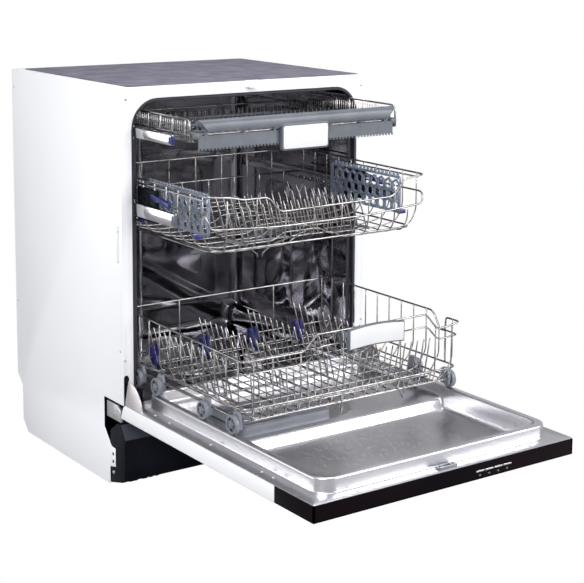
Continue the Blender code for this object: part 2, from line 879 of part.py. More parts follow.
def dispenser():
    """The detergent and rinse-aid module on the liner's plateau."""
    low = FLANGE_Z + GAP
    high = low + DISPENSER_HEIGHT
    left = DISPENSER_X - DISPENSER_WIDTH / 2
    right = DISPENSER_X + DISPENSER_WIDTH / 2
    near = FRONT - PLATEAU + DISPENSER_FROM_RECESS
    far = near + DISPENSER_LENGTH
    body = box("dispenser_body", (left, near, low), (right, far, high), "grey_plastic", 0.003)
    shut = far - 0.016
    seat_left = left + 0.014
    seat_right = seat_left + LID_WIDTH
    well = box(
        "detergent_well",
        (seat_left + 0.008, shut - LID_LENGTH + 0.006, low + 0.003),
        (seat_right - 0.008, shut - 0.006, high + 0.002),
    )
    seat = box(
        "lid_seat",
        (seat_left, shut - LID_LENGTH - LID_TRAVEL - 0.002, high - 0.005),
        (seat_right, shut + 0.001, high + 0.002),
    )
    port = cylinder("rinse_port", 0.0175, (right - 0.050, near + 0.068, high), 0.022)
    cut(body, seat, well, port)
    lid = box(
        "detergent_lid",
        (seat_left + 2 * GAP, shut - LID_LENGTH, high - 0.005 + GAP),
        (seat_right - 2 * GAP, shut, high - 0.0006),
        "grey_plastic",
    )
    tab = box(
        "lid_tab",
        (seat_left + 0.026, shut - LID_LENGTH + 0.003, high - 0.002),
        (seat_right - 0.026, shut - LID_LENGTH + 0.008, high + 0.002),
    )
    join(lid, tab)
    centre = (right - 0.050, near + 0.068, high - 0.0025)
    cap = cylinder("rinse_aid_cap", 0.017, centre, 0.014, finish="grey_plastic")
    rib = box(
        "rinse_rib",
        (right - 0.064, near + 0.0665, high + 0.003),
        (right - 0.036, near + 0.0695, high + 0.009),
    )
    join(cap, rib)


def latch_striker():
    y = FRONT - GAP
    block = box(
        "latch_striker",
        (-0.0085, y - 0.011, TUB_TOP + 0.010),
        (0.0085, y + 0.010, TUB_TOP + 0.014),
        "stainless",
    )
    window = box("striker_window", (-0.005, y - 0.008, TUB_TOP), (0.005, y - 0.002, TUB_TOP + 0.020))
    cut(block, window)


# Racks


def cradle(name, half, front, back, floor, rim, along, across, lean, finish, extra=()):
    """A wire rack in one piece: wires that run back and forward, wires that run across, and two rims."""
    pitch = (2 * half - 0.060) / (along - 1)
    lengthwise = []
    for number in range(along):
        x = -half + 0.030 + number * pitch
        lengthwise.append(
            [(x, front, rim), (x, front + lean, floor), (x, back - lean, floor), (x, back, rim)]
        )
    step = (back - front - 0.088) / (across - 1)
    crosswise = []
    lift = floor + 1.3 * WIRE
    for number in range(across):
        y = front + 0.030 + number * step
        crosswise.append(
            [(-half, y, rim), (-half + lean, y, lift), (half - lean, y, lift), (half, y, rim)]
        )
    loops = []
    middle = (floor + rim) / 2 + 0.010
    for height, share in ((rim, 0.0), (middle, 0.5)):
        inset = lean * share - 0.5 * WIRE
        loops.append(
            [
                (u, v, height)
                for u, v in rounded(
                    -half + inset, front + inset, half - inset, back - inset, 0.022, 3
                )
            ]
        )
    rack = rods(name, loops, WIRE, finish, closed=True)
    join(rack, rods(name + "_along", lengthwise, WIRE), rods(name + "_across", crosswise, WIRE))
    join(rack, *extra)
    return rack


def lower_basket():
    front = FRONT + RACK_HOME - BASKET_OUT
    back = front + BASKET_LENGTH
    axles = []
    for number, y in enumerate(wheel_places()):
        for side in (-1, 1):
            inner, outer = span(side, BASKET_HALF - 0.014, WHEEL_X + WHEEL_THICK / 2 + 0.002)
            path = [(inner, y, WHEEL_Z), (outer, y, WHEEL_Z)]
            axles.append(rods(f"axle_{number}_{side}", [path], 0.004, sides=2))
            left, right = span(side, BASKET_HALF - 0.0125, BASKET_HALF - 0.0035)
            low = (left, y - 0.007, WHEEL_Z - 0.003)
            high = (right, y + 0.007, WHEEL_Z + 0.030)
            axles.append(box(f"strut_{number}_{side}", low, high))
    cradle(
        "lower_basket",
        BASKET_HALF,
        front,
        back,
        BASKET_FLOOR,
        BASKET_RIM,
        7,
        6,
        0.010,
        "wire",
        axles,
    )


def wheel_places():
    """Where the axles of the lower basket's four wheels lie, along Y."""
    front = FRONT + RACK_HOME - BASKET_OUT
    return (front + 0.030, front + BASKET_LENGTH - 0.058)


def wheels():
    for label, y in zip(("front", "rear"), wheel_places()):
        for side, hand in ((-1, "left"), (1, "right")):
            half = WHEEL_THICK / 2
            bore = 0.0043
            profile = [
                (bore, half),
                (WHEEL_RADIUS - 0.006, half),
                (WHEEL_RADIUS - 0.005, half - 0.002),
                (WHEEL_RADIUS, half - 0.002),
                (WHEEL_RADIUS, -half),
                (bore, -half),
                (bore, half),
            ]
            centre = (side * WHEEL_X, y, WHEEL_Z)
            turned(f"{label}_wheel_{hand}", profile, centre, "X", "grey_plastic", 20)


def tine_row(side, label):
    """A folding row of upright tines on one long wire."""
    x = TINE_SHIFT + side * TINE_SPREAD
    front = FRONT + RACK_HOME - BASKET_OUT + 0.160
    back = front + 0.230
    z = BASKET_FLOOR + 4.2 * WIRE
    base = rods("tine_row_" + label, [[(x, front, z), (x, back, z)]], WIRE, "wire")
    tines = []
    for number in range(8):
        y = front + 0.010 + number * 0.030
        tines.append([(x, y, z), (x - 0.006, y, z + TINE_RISE)])
    join(base, rods("tines_" + label, tines, WIRE * 0.9))
    set_pivot(base, (x, (front + back) / 2, z))


def basket_handle():
    y = FRONT + RACK_HOME - BASKET_OUT - WIRE - 0.0006
    box(
        "basket_handle",
        (-0.027, y - 0.010, BASKET_RIM - 0.020),
        (0.108, y - 0.001, BASKET_RIM + 0.025),
        "grey_plastic",
        0.002,
    )


def upper_rack():
    front = FRONT + RACK_HOME - RACK_OUT
    back = front + RACK_LENGTH
    cradle("upper_rack", RACK_HALF, front, back, RACK_FLOOR, RACK_RIM, 7, 6, 0.014, "wire")


def rack_middle():
    return FRONT + RACK_HOME - RACK_OUT + RACK_LENGTH / 2


def middle_spray_arm():
    centre = (0, rack_middle(), RACK_FLOOR - 0.022)
    spray_arm("middle_spray_arm", centre, ARM_REACH, 0.030, 0.009, math.radians(19))


def cup_shelf(side, label):
    """A comb shelf on the rack's side, folded up against it."""
    x = side * (RACK_HALF - 0.026)
    left, right = sorted((x, x - side * 0.004))
    front = FRONT + RACK_HOME - RACK_OUT + 0.045
    back = front + 0.230
    low = RACK_FLOOR + 0.030
    high = RACK_RIM - 0.004
    shelf = box("cup_shelf_" + label, (left, front, low), (right, back, high), "clear_blue")
    windows = []
    for number in range(5):
        y = front + 0.012 + number * 0.043
        windows.append(
            box(
                f"shelf_window_{label}_{number}",
                (left - 0.004, y, low + 0.014),
                (right + 0.004, y + 0.034, high - 0.014),
            )
        )
    cut(shelf, *windows)
    set_pivot(shelf, ((left + right) / 2, (front + back) / 2, low + 0.004))


def height_lever(side, label):
    """The lever that raises or lowers the upper rack on its rails."""
    left, right = span(side, RACK_HALF + WIRE + 0.0008, RAIL_INNER - 0.0004)
    y = FRONT - 0.050
    z = RACK_RIM - 0.029
    tip = y - 0.064
    root = y - 0.002
    outline = [(tip, z - 0.012), (tip, z - 0.005), (root, z + 0.004), (root, z - 0.003)]
    lever = prism("height_lever_" + label, outline, "X", left, right, "blue_plastic")
    set_pivot(lever, ((left + right) / 2, y - 0.004, z))


def rail(side, label):
    """The sliding members between the fixed tracks and the racks."""
    left, right = span(side, RAIL_INNER, RAIL_OUTER)
    for name, (low, high), out in (
        ("rack", RACK_RAIL, RACK_RAIL_OUT),
        ("tray", TRAY_RAIL, TRAY_RAIL_OUT),
    ):
        front = FRONT - out
        box(
            f"{name}_rail_{label}",
            (left, front, low),
            (right, front + RAIL_LENGTH, high),
            "stainless",
            0.0015,
        )


def cutlery_tray():
    """The shallow top tray: a wire frame with a comb of cross wires."""
    front = FRONT + RACK_HOME - TRAY_OUT + 0.008
    back = front + TRAY_LENGTH - 0.008
    cradle("cutlery_tray", TRAY_HALF, front, back, TRAY_FLOOR, TRAY_RIM, 9, 6, 0.004, "wire")


def tray_handle():
    """The grey front bar, with the plate that hangs below its middle."""
    front = FRONT + RACK_HOME - TRAY_OUT
    low = TRAY_RIM - 0.0235
    outline = [
        (front - 0.006, low),
        (front - 0.006, TRAY_RIM - 0.006),
        (front, TRAY_RIM),
        (front + 0.0045, TRAY_RIM),
        (front + 0.0045, low - 0.014),
        (front + 0.002, low - 0.014),
        (front + 0.002, low),
    ]
    bar = prism("tray_handle", outline, "X", 0.0085 - TRAY_HALF, TRAY_HALF - 0.0085, "grey_plastic")
    foot = (-0.048, front - 0.007, TRAY_RIM - 0.071)
    plate = box("tray_plate", foot, (0.0625, front + 0.001, low + 0.004))
    join(bar, plate)


KEY_Z = FLANGE_Z - SHEET - 0.0155
clear_scene()
PARTS = new_collection("dishwasher")
HELPERS = new_collection("cutters")

for maker in (side_panel, hinge_bracket, foot, track, hinge_arm):
    mirrored(maker)
for maker in (tine_row, cup_shelf, height_lever, rail):
    mirrored(maker)
for maker in (
    top_mat,
    front_top_rail,
    back_panel,
    base_tray,
    kick_plate,
    tub,
    door_gasket,
    sump,
    filter_parts,
    circulation_pump,
    feed_tube,
    water_softener,
    lower_spray_arm,
    top_spray_arm,
    door_outer_panel,
    door_liner,
    control_panel,
    keys,
    door_lock,
    dispenser,
    latch_striker,
    lower_basket,
    wheels,
    basket_handle,
    upper_rack,
    middle_spray_arm,
    cutlery_tray,
    tray_handle,
):
    maker()
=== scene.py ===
# %% [markdown]
# # Built-in dishwasher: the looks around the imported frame
# Every visible piece is built here in metres, in the frame's own coordinates, and rides on a body
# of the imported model. The front of the cabinet faces -Y and the open door lies towards -Y.

# %%
import math

import bmesh
import bpy
from mathutils import Matrix, Vector


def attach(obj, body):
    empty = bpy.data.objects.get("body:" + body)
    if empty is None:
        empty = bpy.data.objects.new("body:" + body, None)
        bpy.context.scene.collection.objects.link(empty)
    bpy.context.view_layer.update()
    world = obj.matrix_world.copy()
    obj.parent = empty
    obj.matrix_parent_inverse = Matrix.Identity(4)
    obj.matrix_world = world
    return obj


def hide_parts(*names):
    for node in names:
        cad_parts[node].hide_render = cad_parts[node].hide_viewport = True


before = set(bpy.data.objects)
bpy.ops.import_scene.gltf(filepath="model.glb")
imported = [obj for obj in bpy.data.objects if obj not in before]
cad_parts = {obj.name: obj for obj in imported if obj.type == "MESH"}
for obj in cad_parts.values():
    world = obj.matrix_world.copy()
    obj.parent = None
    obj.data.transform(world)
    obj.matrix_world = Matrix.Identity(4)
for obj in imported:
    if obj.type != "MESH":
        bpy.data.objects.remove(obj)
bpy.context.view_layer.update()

# %% [markdown]
# ## Sizes
# The same driving sizes as the model: the cabinet, the door lying level, and the three racks.

# %%
FRONT = -0.25
BACK = 0.25
HALF = 0.299
HEIGHT = 0.820
SHEET = 0.0012
PIVOT_Y = FRONT - 0.010
PIVOT_Z = 0.1775
FLANGE_Z = 0.1855
FACE_Z = 0.1535
DOOR_TIP = PIVOT_Y - 0.639
PANEL_START = DOOR_TIP + 0.115
RIM_HALF = 0.266
RIM_TOP = 0.2125
RIM_WIDTH = 0.0145
TUB_HALF = 0.2755
TUB_IN = 0.2743
TUB_TOP = 0.794
TUB_FRONT = FRONT + 0.012
TUB_BACK = BACK - 0.022
TUB_MIDDLE = (TUB_FRONT + TUB_BACK) / 2
TUB_FLOOR = 0.165
TUB_CORNER = 0.055
SEAL_REACH = 0.0042
RACK_OUT = 0.2675
RACK_DEPTH = 0.4425
TRAY_OUT = 0.196
TRAY_DEPTH = 0.412
WHEEL_R = 0.018
WHEEL_X = RIM_HALF - RIM_WIDTH / 2
WHEEL_Z = RIM_TOP + 0.0003 + WHEEL_R
WIRE = 0.0013
RIM_WIRE = 0.0019
AXES = {"X": Vector((1, 0, 0)), "Y": Vector((0, 1, 0)), "Z": Vector((0, 0, 1))}

# %% [markdown]
# ## Materials
# One builder for all of them: a base colour with slow variation, roughness with fine variation, and
# a bump from stretched noise. The stretch gives brushed lines on sheet and drawn lines on wire.


# %%
def link(tree, a, b):
    tree.links.new(a, b)


def noise(tree, scale, detail=4.0, stretch=(1, 1, 1)):
    """Noise on object coordinates, stretched along an axis where its number is small."""
    where = tree.nodes.new("ShaderNodeTexCoord")
    mapping = tree.nodes.new("ShaderNodeMapping")
    mapping.inputs["Scale"].default_value = stretch
    made = tree.nodes.new("ShaderNodeTexNoise")
    made.inputs["Scale"].default_value = scale
    made.inputs["Detail"].default_value = detail
    link(tree, where.outputs["Object"], mapping.inputs["Vector"])
    link(tree, mapping.outputs["Vector"], made.inputs["Vector"])
    return made.outputs["Fac"]


def spread(tree, value, low, high):
    """A value from 0 to 1 carried to low to high."""
    made = tree.nodes.new("ShaderNodeMapRange")
    made.inputs["From Min"].default_value = 0.3
    made.inputs["From Max"].default_value = 0.7
    made.inputs["To Min"].default_value = low
    made.inputs["To Max"].default_value = high
    link(tree, value, made.inputs["Value"])
    return made.outputs["Result"]


def tones(tree, value, first, second):
    made = tree.nodes.new("ShaderNodeValToRGB")
    made.color_ramp.elements[0].position = 0.35
    made.color_ramp.elements[1].position = 0.65
    made.color_ramp.elements[0].color = (*first, 1)
    made.color_ramp.elements[1].color = (*second, 1)
    link(tree, value, made.inputs["Fac"])
    return made.outputs["Color"]


def material(
    name, first, second, rough, metallic=0.0, grain=900, stretch=(1, 1, 1), bump=0.05, patch=6.0,
    **extra
):
    made = bpy.data.materials.new(name)
    made.use_nodes = True
    tree = made.node_tree
    shader = tree.nodes["Principled BSDF"]
    shader.inputs["Metallic"].default_value = metallic
    for key, value in extra.items():
        shader.inputs[key.replace("_", " ")].default_value = value
    link(tree, tones(tree, noise(tree, patch, 3), first, second), shader.inputs["Base Color"])
    fine = noise(tree, grain, 3, stretch)
    link(tree, spread(tree, fine, rough[0], rough[1]), shader.inputs["Roughness"])
    relief = tree.nodes.new("ShaderNodeBump")
    relief.inputs["Strength"].default_value = bump
    relief.inputs["Distance"].default_value = 0.0006
    link(tree, fine, relief.inputs["Height"])
    link(tree, relief.outputs["Normal"], shader.inputs["Normal"])
    return made


ENAMEL = material(
    "white_enamel", (0.86, 0.87, 0.895), (0.885, 0.89, 0.905), (0.28, 0.36), 0, 1400, bump=0.02,
    patch=3,
)
STEEL = material(
    "tub_steel", (0.36, 0.352, 0.378), (0.48, 0.472, 0.498), (0.05, 0.10), 1, 60, (0.2, 1, 1),
    0.006,
)
LINER = material(
    "liner_steel", (0.68, 0.675, 0.71), (0.74, 0.735, 0.765), (0.27, 0.32), 1, 900, (1, 0.05, 1),
    0.003,
)
GALVANISED = material(
    "galvanised", (0.48, 0.50, 0.53), (0.62, 0.63, 0.66), (0.32, 0.48), 0.9, 160, bump=0.06,
    patch=60,
)
QUADRANT = material(
    "quadrant_steel", (0.62, 0.58, 0.58), (0.72, 0.68, 0.68), (0.26, 0.36), 0.8, 300, (0.1, 1, 1),
    0.04,
)
MAT = material(
    "mat_grey", (0.095, 0.088, 0.125), (0.155, 0.148, 0.19), (0.50, 0.72), 0, 700, bump=0.35,
    patch=22,
)
BLACK = material(
    "black_plastic", (0.0045, 0.0055, 0.0095), (0.009, 0.0105, 0.0165), (0.40, 0.55), 0, 1800,
    bump=0.08, patch=14, Specular_IOR_Level=0.08,
)
# A lighter blue-grey copy of the black plastic, used on the kick plate's upward slope: a painted highlight
# where the light falls on the slope.
BLACK_PAINTED_HIGHLIGHT = material(
    "black_plastic_painted_highlight", (0.045, 0.053, 0.072), (0.060, 0.068, 0.09), (0.35, 0.5), 0, 1800,
    bump=0.06, patch=14,
)
GLOSS = material(
    "black_gloss", (0.0035, 0.0025, 0.004), (0.007, 0.0035, 0.005), (0.06, 0.10), 0, 500,
    bump=0.004, Specular_IOR_Level=0.05,
)
RUBBER = material(
    "gasket_rubber", (0.012, 0.013, 0.022), (0.03, 0.03, 0.042), (0.5, 0.7), 0, 1500, bump=0.2,
    patch=30,
)
GREY = material(
    "grey_plastic", (0.085, 0.095, 0.115), (0.115, 0.127, 0.15), (0.30, 0.42), 0, 2200, bump=0.10,
    patch=20,
)
PALE = material(
    "pale_grey_plastic", (0.150, 0.160, 0.190), (0.195, 0.208, 0.24), (0.32, 0.45), 0, 2200,
    bump=0.10, patch=20,
)
WHITE = material("white_plate", (0.66, 0.67, 0.69), (0.72, 0.725, 0.74), (0.30, 0.40), 0, 900, bump=0.02)
BLUE = material(
    "blue_plastic", (0.010, 0.011, 0.10), (0.022, 0.025, 0.18), (0.22, 0.34), 0, 1600, bump=0.08,
    patch=40,
)
CLEAR = material(
    "clear_blue", (0.42, 0.49, 0.62), (0.55, 0.61, 0.72), (0.10, 0.2), 0, 700, bump=0.05, patch=30,
    Transmission_Weight=0.75, IOR=1.35,
)
CHROME = material(
    "rack_wire", (0.24, 0.232, 0.23), (0.42, 0.408, 0.40), (0.12, 0.22), 1, 420, bump=0.04,
    patch=45,
)
RAIL = material(
    "rail_steel", (0.42, 0.42, 0.44), (0.55, 0.55, 0.57), (0.08, 0.16), 1, 500, (1, 0.04, 1), 0.03,
)
CAST = material(
    "pump_body", (0.05, 0.05, 0.06), (0.09, 0.09, 0.10), (0.5, 0.7), 0.3, 300, bump=0.3, patch=30,
)
SILVER = material("silver_key", (0.55, 0.56, 0.58), (0.62, 0.63, 0.65), (0.2, 0.3), 0.7, 900, bump=0.03)

# %% [markdown]
# ## Shape builders
# Swept wires with rounded bends, turned shapes, rounded blocks, flat outlines with an extrusion, and
# stacks of loops for pressed sheet.


# %%
def bent(points, radius, steps=4, closed=False):
    """A polyline with each bend rounded."""
    points = [Vector(p) for p in points]
    count = len(points)
    made = []
    for number, point in enumerate(points):
        if not closed and number in (0, count - 1):
            made.append(point)
            continue
        before = points[number - 1] - point
        after = points[(number + 1) % count] - point
        reach = min(radius, before.length * 0.48, after.length * 0.48)
        if before.normalized().dot(after.normalized()) < -0.9995:
            made.append(point)
            continue
        first = point + before.normalized() * reach
        last = point + after.normalized() * reach
        for step in range(steps + 1):
            t = step / steps
            made.append((1 - t) ** 2 * first + 2 * t * (1 - t) * point + t * t * last)
    return made


def sweep(bm, path, radius, sides=8, closed=False):
    """A round bar along a path, with domed ends."""
    points = [Vector(p) for p in path]
    count = len(points)
    rings = []
    normal = None
    for number, point in enumerate(points):
        before = points[number - 1] if number or closed else point
        after = points[(number + 1) % count] if number < count - 1 or closed else point
        tangent = (after - before).normalized()
        if normal is None:
            other = AXES["Z"] if abs(tangent.z) < 0.9 else AXES["X"]
            normal = tangent.cross(other).normalized()
        normal = (normal - tangent * normal.dot(tangent)).normalized()
        side = tangent.cross(normal)
        places = [(point, 1.0)]
        if not closed and number == 0:
            places = [(point - tangent * radius * 0.5, 0.55), (point, 1.0)]
        if not closed and number == count - 1:
            places = [(point, 1.0), (point + tangent * radius * 0.5, 0.55)]
        for centre, share in places:
            ring = []
            for corner in range(sides):
                angle = 2 * math.pi * corner / sides
                away = math.cos(angle) * normal + math.sin(angle) * side
                ring.append(bm.verts.new(centre + radius * share * away))
            rings.append(ring)
    skin(bm, rings, closed)
    if not closed:
        bm.faces.new(rings[0][::-1])
        bm.faces.new(rings[-1])


def skin(bm, rings, closed=False, round_too=True):
    """Faces between one ring of points and the next."""
    pairs = list(zip(rings, rings[1:]))
    if closed:
        pairs.append((rings[-1], rings[0]))
    for first, second in pairs:
        count = len(first)
        for corner in range(count if round_too else count - 1):
            after = (corner + 1) % count
            bm.faces.new((first[corner], first[after], second[after], second[corner]))


def wire(bm, points, radius=WIRE, bend=0.010, closed=False, sides=8):
    sweep(bm, bent(points, bend, 4, closed), radius, sides, closed)


def lathe(bm, profile, centre, axis="Z", steps=32):
    """A profile of (radius, height) turned about an axis. A profile that ends where it begins is a ring."""
    turn = AXES["Z"].rotation_difference(AXES[axis]).to_matrix()
    ring_shape = profile[0] == profile[-1]
    rows = []
    for radius, height in profile[ring_shape:]:
        if radius < 1e-7:
            rows.append([bm.verts.new(Vector(centre) + turn @ Vector((0, 0, height)))])
            continue
        row = []
        for step in range(steps):
            angle = 2 * math.pi * step / steps
            place = Vector((radius * math.cos(angle), radius * math.sin(angle), height))
            row.append(bm.verts.new(Vector(centre) + turn @ place))
        rows.append(row)
    pairs = list(zip(rows, rows[1:]))
    if ring_shape:
        pairs.append((rows[-1], rows[0]))
    for first, second in pairs:
        for corner in range(steps):
            after = (corner + 1) % steps
            if len(first) == 1:
                bm.faces.new((first[0], second[after], second[corner]))
            elif len(second) == 1:
                bm.faces.new((first[corner], first[after], second[0]))
            else:
                bm.faces.new((first[corner], first[after], second[after], second[corner]))


def merge(bm, part):
    """Adds a finished bmesh to another one."""
    mesh = bpy.data.meshes.new("part")
    part.to_mesh(mesh)
    part.free()
    bm.from_mesh(mesh)
    bpy.data.meshes.remove(mesh)


def soften(part, bevel, segments=2, angle=30):
    """Rounds the edges where two faces meet at more than the angle."""
    part.normal_update()
    edges = [e for e in part.edges if len(e.link_faces) == 2 and e.calc_face_angle() > math.radians(angle)]
    bmesh.ops.bevel(
        part,
        geom=edges,
        offset=bevel,
        offset_type="OFFSET",
        segments=segments,
        profile=0.5,
        affect="EDGES",
        clamp_overlap=True,
        material=-1,
    )


def block(bm, low, high, bevel=0.001, segments=2, tilt=None):
    """A rounded block between two corners, tilted by a matrix about its middle if one is given."""
    size = [abs(b - a) for a, b in zip(low, high)]
    middle = Vector([(a + b) / 2 for a, b in zip(low, high)])
    part = bmesh.new()
    bmesh.ops.create_cube(part, size=1)
    bmesh.ops.scale(part, vec=size, verts=part.verts)
    if bevel:
        soften(part, min(bevel, min(size) * 0.45), segments)
    if tilt:
        bmesh.ops.transform(part, matrix=tilt, verts=part.verts)
    bmesh.ops.translate(part, vec=middle, verts=part.verts)
    merge(bm, part)


def place(axis, u, v, w):
    return {"X": (w, u, v), "Y": (u, w, v), "Z": (u, v, w)}[axis]


def plate(bm, outline, axis, low, high, bevel=0.0005, segments=2):
    """A flat outline carried from low to high along an axis, with its edges rounded."""
    part = bmesh.new()
    first = [part.verts.new(place(axis, u, v, low)) for u, v in outline]
    second = [part.verts.new(place(axis, u, v, high)) for u, v in outline]
    part.faces.new(first[::-1])
    part.faces.new(second)
    skin(part, [first, second])
    bmesh.ops.recalc_face_normals(part, faces=part.faces)
    if bevel:
        soften(part, bevel, segments)
    merge(bm, part)


def arc(u, v, radius, start, end, steps=6):
    """Points on an arc, in degrees."""
    found = []
    for step in range(steps + 1):
        angle = math.radians(start + (end - start) * step / steps)
        found.append((u + radius * math.cos(angle), v + radius * math.sin(angle)))
    return found


def rounded(left, low, right, high, radius, steps=6):
    """A rectangle's outline with round corners."""
    return (
        arc(left + radius, low + radius, radius, 180, 270, steps)
        + arc(right - radius, low + radius, radius, 270, 360, steps)
        + arc(right - radius, high - radius, radius, 0, 90, steps)
        + arc(left + radius, high - radius, radius, 90, 180, steps)
    )


def framed(bm, outer, inner, axis, low, high):
    """A flat ring between two outlines with the same number of points."""
    part = bmesh.new()
    rows = []
    for outline, depth in ((outer, low), (outer, high), (inner, high), (inner, low)):
        rows.append([part.verts.new(place(axis, u, v, depth)) for u, v in outline])
    skin(part, rows, closed=True)
    bmesh.ops.recalc_face_normals(part, faces=part.faces)
    merge(bm, part)


def piece(name, bm, finish, body, nodes=(), angle=32):
    """A finished piece that rides on a body and stands for some nodes."""
    bmesh.ops.recalc_face_normals(bm, faces=bm.faces)
    mesh = bpy.data.meshes.new(name)
    bm.to_mesh(mesh)
    bm.free()
    mesh.shade_smooth()
    mesh.set_sharp_from_angle(angle=math.radians(angle))
    mesh.materials.append(finish)
    obj = bpy.data.objects.new(name, mesh)
    bpy.context.scene.collection.objects.link(obj)
    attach(obj, body)
    if nodes:
        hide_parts(*nodes)
    return obj


def screw_head(bm, centre, axis, radius=0.0035, out=1):
    """A domed screw head with a shallow round dip in the middle."""
    profile = [
        (0, 0.0011), (radius * 0.30, 0.0011), (radius * 0.34, 0.0017), (radius * 0.75, 0.0014),
        (radius, 0.0004), (radius, -0.0006), (0, -0.0006),
    ]
    lathe(bm, [(r, h * out) for r, h in profile], centre, axis, 16)


def sides():
    return ((-1, "left"), (1, "right"))


def span(side, inner, outer):
    return sorted((side * inner, side * outer))


# %% [markdown]
# ## Cabinet sheet metal
# Two folded side panels with their front flanges, the top rail, the mat, the back panel and the
# stepped black kick plate, with their slots and screws.


# %%
def side_panel(side, label):
    bm = bmesh.new()
    low = 0.0024
    outline = [
        (FRONT, HEIGHT - 0.002),
        (FRONT, 0.182),
        (FRONT + 0.083, 0.182),
        (FRONT + 0.083, 0.118),
        (FRONT + 0.060, 0.092),
        (FRONT + 0.060, low),
        (BACK - 0.050, low),
        (BACK - 0.025, low + 0.025),
        (BACK - 0.025, 0.105),
        (BACK, 0.130),
        (BACK, HEIGHT - 0.002),
    ]
    left, right = span(side, HALF - SHEET, HALF)
    plate(bm, outline, "X", left, right, 0.0005, 2)
    left, right = span(side, TUB_HALF, HALF - 0.0003)
    inner, outer = (TUB_HALF, HALF - 0.0003)
    notch = (inner + 0.011, PIVOT_Z + 0.066)
    flange = [
        (side * inner, HEIGHT - 0.026),
        (side * inner, 0.182),
        (side * (notch[0] - 0.001), 0.182),
        (side * (notch[0] - 0.001), notch[1] - 0.006),
        (side * (notch[0] + 0.003), notch[1]),
        (side * (outer - 0.004), notch[1]),
        (side * (outer - 0.0015), notch[1] - 0.004),
        (side * (outer - 0.0015), 0.182),
        (side * outer, 0.182),
        (side * outer, HEIGHT - 0.002),
        (side * inner, HEIGHT - 0.002),
    ]
    plate(bm, flange, "Y", FRONT, FRONT + SHEET, 0.0004, 2)
    block(
        bm, (side * (TUB_HALF + 0.001), FRONT + 0.0006, HEIGHT - 0.0032),
        (side * (HALF - 0.0006), BACK - 0.003, HEIGHT - 0.002), 0.0003,
    )
    piece(label + "_panel", bm, ENAMEL, "cabinet", [label + "_side_panel"])
    marks = bmesh.new()
    x = side * HALF
    outer_slot = rounded(FRONT + 0.0125, 0.470, FRONT + 0.0195, 0.543, 0.0033, 4)
    inner_slot = rounded(FRONT + 0.0132, 0.4707, FRONT + 0.0188, 0.5423, 0.0027, 4)
    framed(marks, outer_slot, inner_slot, "X", *sorted((x - side * 0.0002, x + side * 0.0001)))
    piece(label + "_clip_slot", marks, BLACK, "cabinet")
    screws = bmesh.new()
    screw_head(screws, (side * 0.2872, FRONT - 0.0002, 0.7955), "Y", 0.0034, -1)
    screw_head(screws, (side * 0.2945, FRONT - 0.0002, 0.275), "Y", 0.0026, -1)
    screw_head(screws, (x, FRONT + 0.016, 0.533), "X", 0.0016, side)
    screw_head(screws, (x, FRONT + 0.010, 0.292), "X", 0.0026, side)
    screw_head(screws, (x, BACK - 0.012, 0.780), "X", 0.0026, side)
    screw_head(screws, (x, BACK - 0.012, 0.300), "X", 0.0026, side)
    piece(label + "_panel_screws", screws, GALVANISED, "cabinet")


def kick_tab(side, label):
    """The white fixing tab beside the kick plate, with two holes and a screw."""
    bm = bmesh.new()
    left, right = span(side, HALF - 0.0012, HALF)
    tab = [
        (FRONT + 0.037, 0.045), (FRONT + 0.0602, 0.040), (FRONT + 0.0602, 0.090),
        (FRONT + 0.052, 0.084), (FRONT + 0.037, 0.083),
    ]
    plate(bm, tab, "X", left, right, 0.0004)
    piece(f"kick_tab_{label}", bm, ENAMEL, "cabinet")
    dots = bmesh.new()
    x = side * (HALF + 0.0001)
    for z in (0.070, 0.054):
        lathe(
            dots, [(0, 0.0002), (0.0034, 0.0002), (0.0034, -0.0002), (0, -0.0002)],
            (x, FRONT + 0.046, z), "X", 16,
        )
    piece(f"kick_tab_dots_{label}", dots, BLACK, "cabinet")
    screw = bmesh.new()
    screw_head(screw, (x - side * 0.001, FRONT + 0.046, 0.031), "X", 0.0038, side)
    piece(f"kick_tab_screw_{label}", screw, GALVANISED, "cabinet")


def top():
    bm = bmesh.new()
    edge = HALF - 0.019
    outline = [
        (-edge, FRONT + 0.003),
        (-0.008, FRONT + 0.003),
        (-0.006, FRONT + 0.009),
        (0.024, FRONT + 0.009),
        (0.026, FRONT + 0.003),
        (edge, FRONT + 0.003),
        (edge, BACK - 0.030),
        (-edge, BACK - 0.030),
    ]
    plate(bm, outline, "Z", HEIGHT - 0.0017, HEIGHT, 0.0006, 2)
    piece("top_mat_sheet", bm, MAT, "cabinet", ["top_mat"])
    bm = bmesh.new()
    edge = TUB_HALF - 0.0003
    radius = 0.058
    corner_low = TUB_TOP + 0.0004
    outline = [(-edge, HEIGHT - 0.002), (-edge, corner_low - radius)]
    outline += arc(-edge + radius, corner_low - radius, radius, 180, 90, 12)
    outline += arc(edge - radius, corner_low - radius, radius, 90, 0, 12)
    outline += [(edge, corner_low - radius), (edge, HEIGHT - 0.002)]
    clean = [outline[0]]
    for point in outline[1:]:
        if (Vector(point) - Vector(clean[-1])).length > 1e-6:
            clean.append(point)
    plate(bm, clean, "Y", FRONT, FRONT + SHEET, 0.0003, 2)
    block(bm, (-edge, FRONT + 0.0006, HEIGHT - 0.0032), (edge, BACK - 0.003, HEIGHT - 0.002), 0.0003)
    piece("top_rail", bm, ENAMEL, "cabinet", ["front_top_rail"])
    bm = bmesh.new()
    for x in (-0.022, -0.012, 0.0):
        block(bm, (x - 0.0022, FRONT - 0.0006, 0.8052), (x + 0.0022, FRONT + 0.0004, 0.8078), 0.0004)
    block(bm, (-0.0085, FRONT - 0.0112, TUB_TOP + 0.010), (0.0085, FRONT + 0.009, TUB_TOP + 0.012), 0.0006)
    piece("latch_plate", bm, GALVANISED, "cabinet", ["latch_striker"])


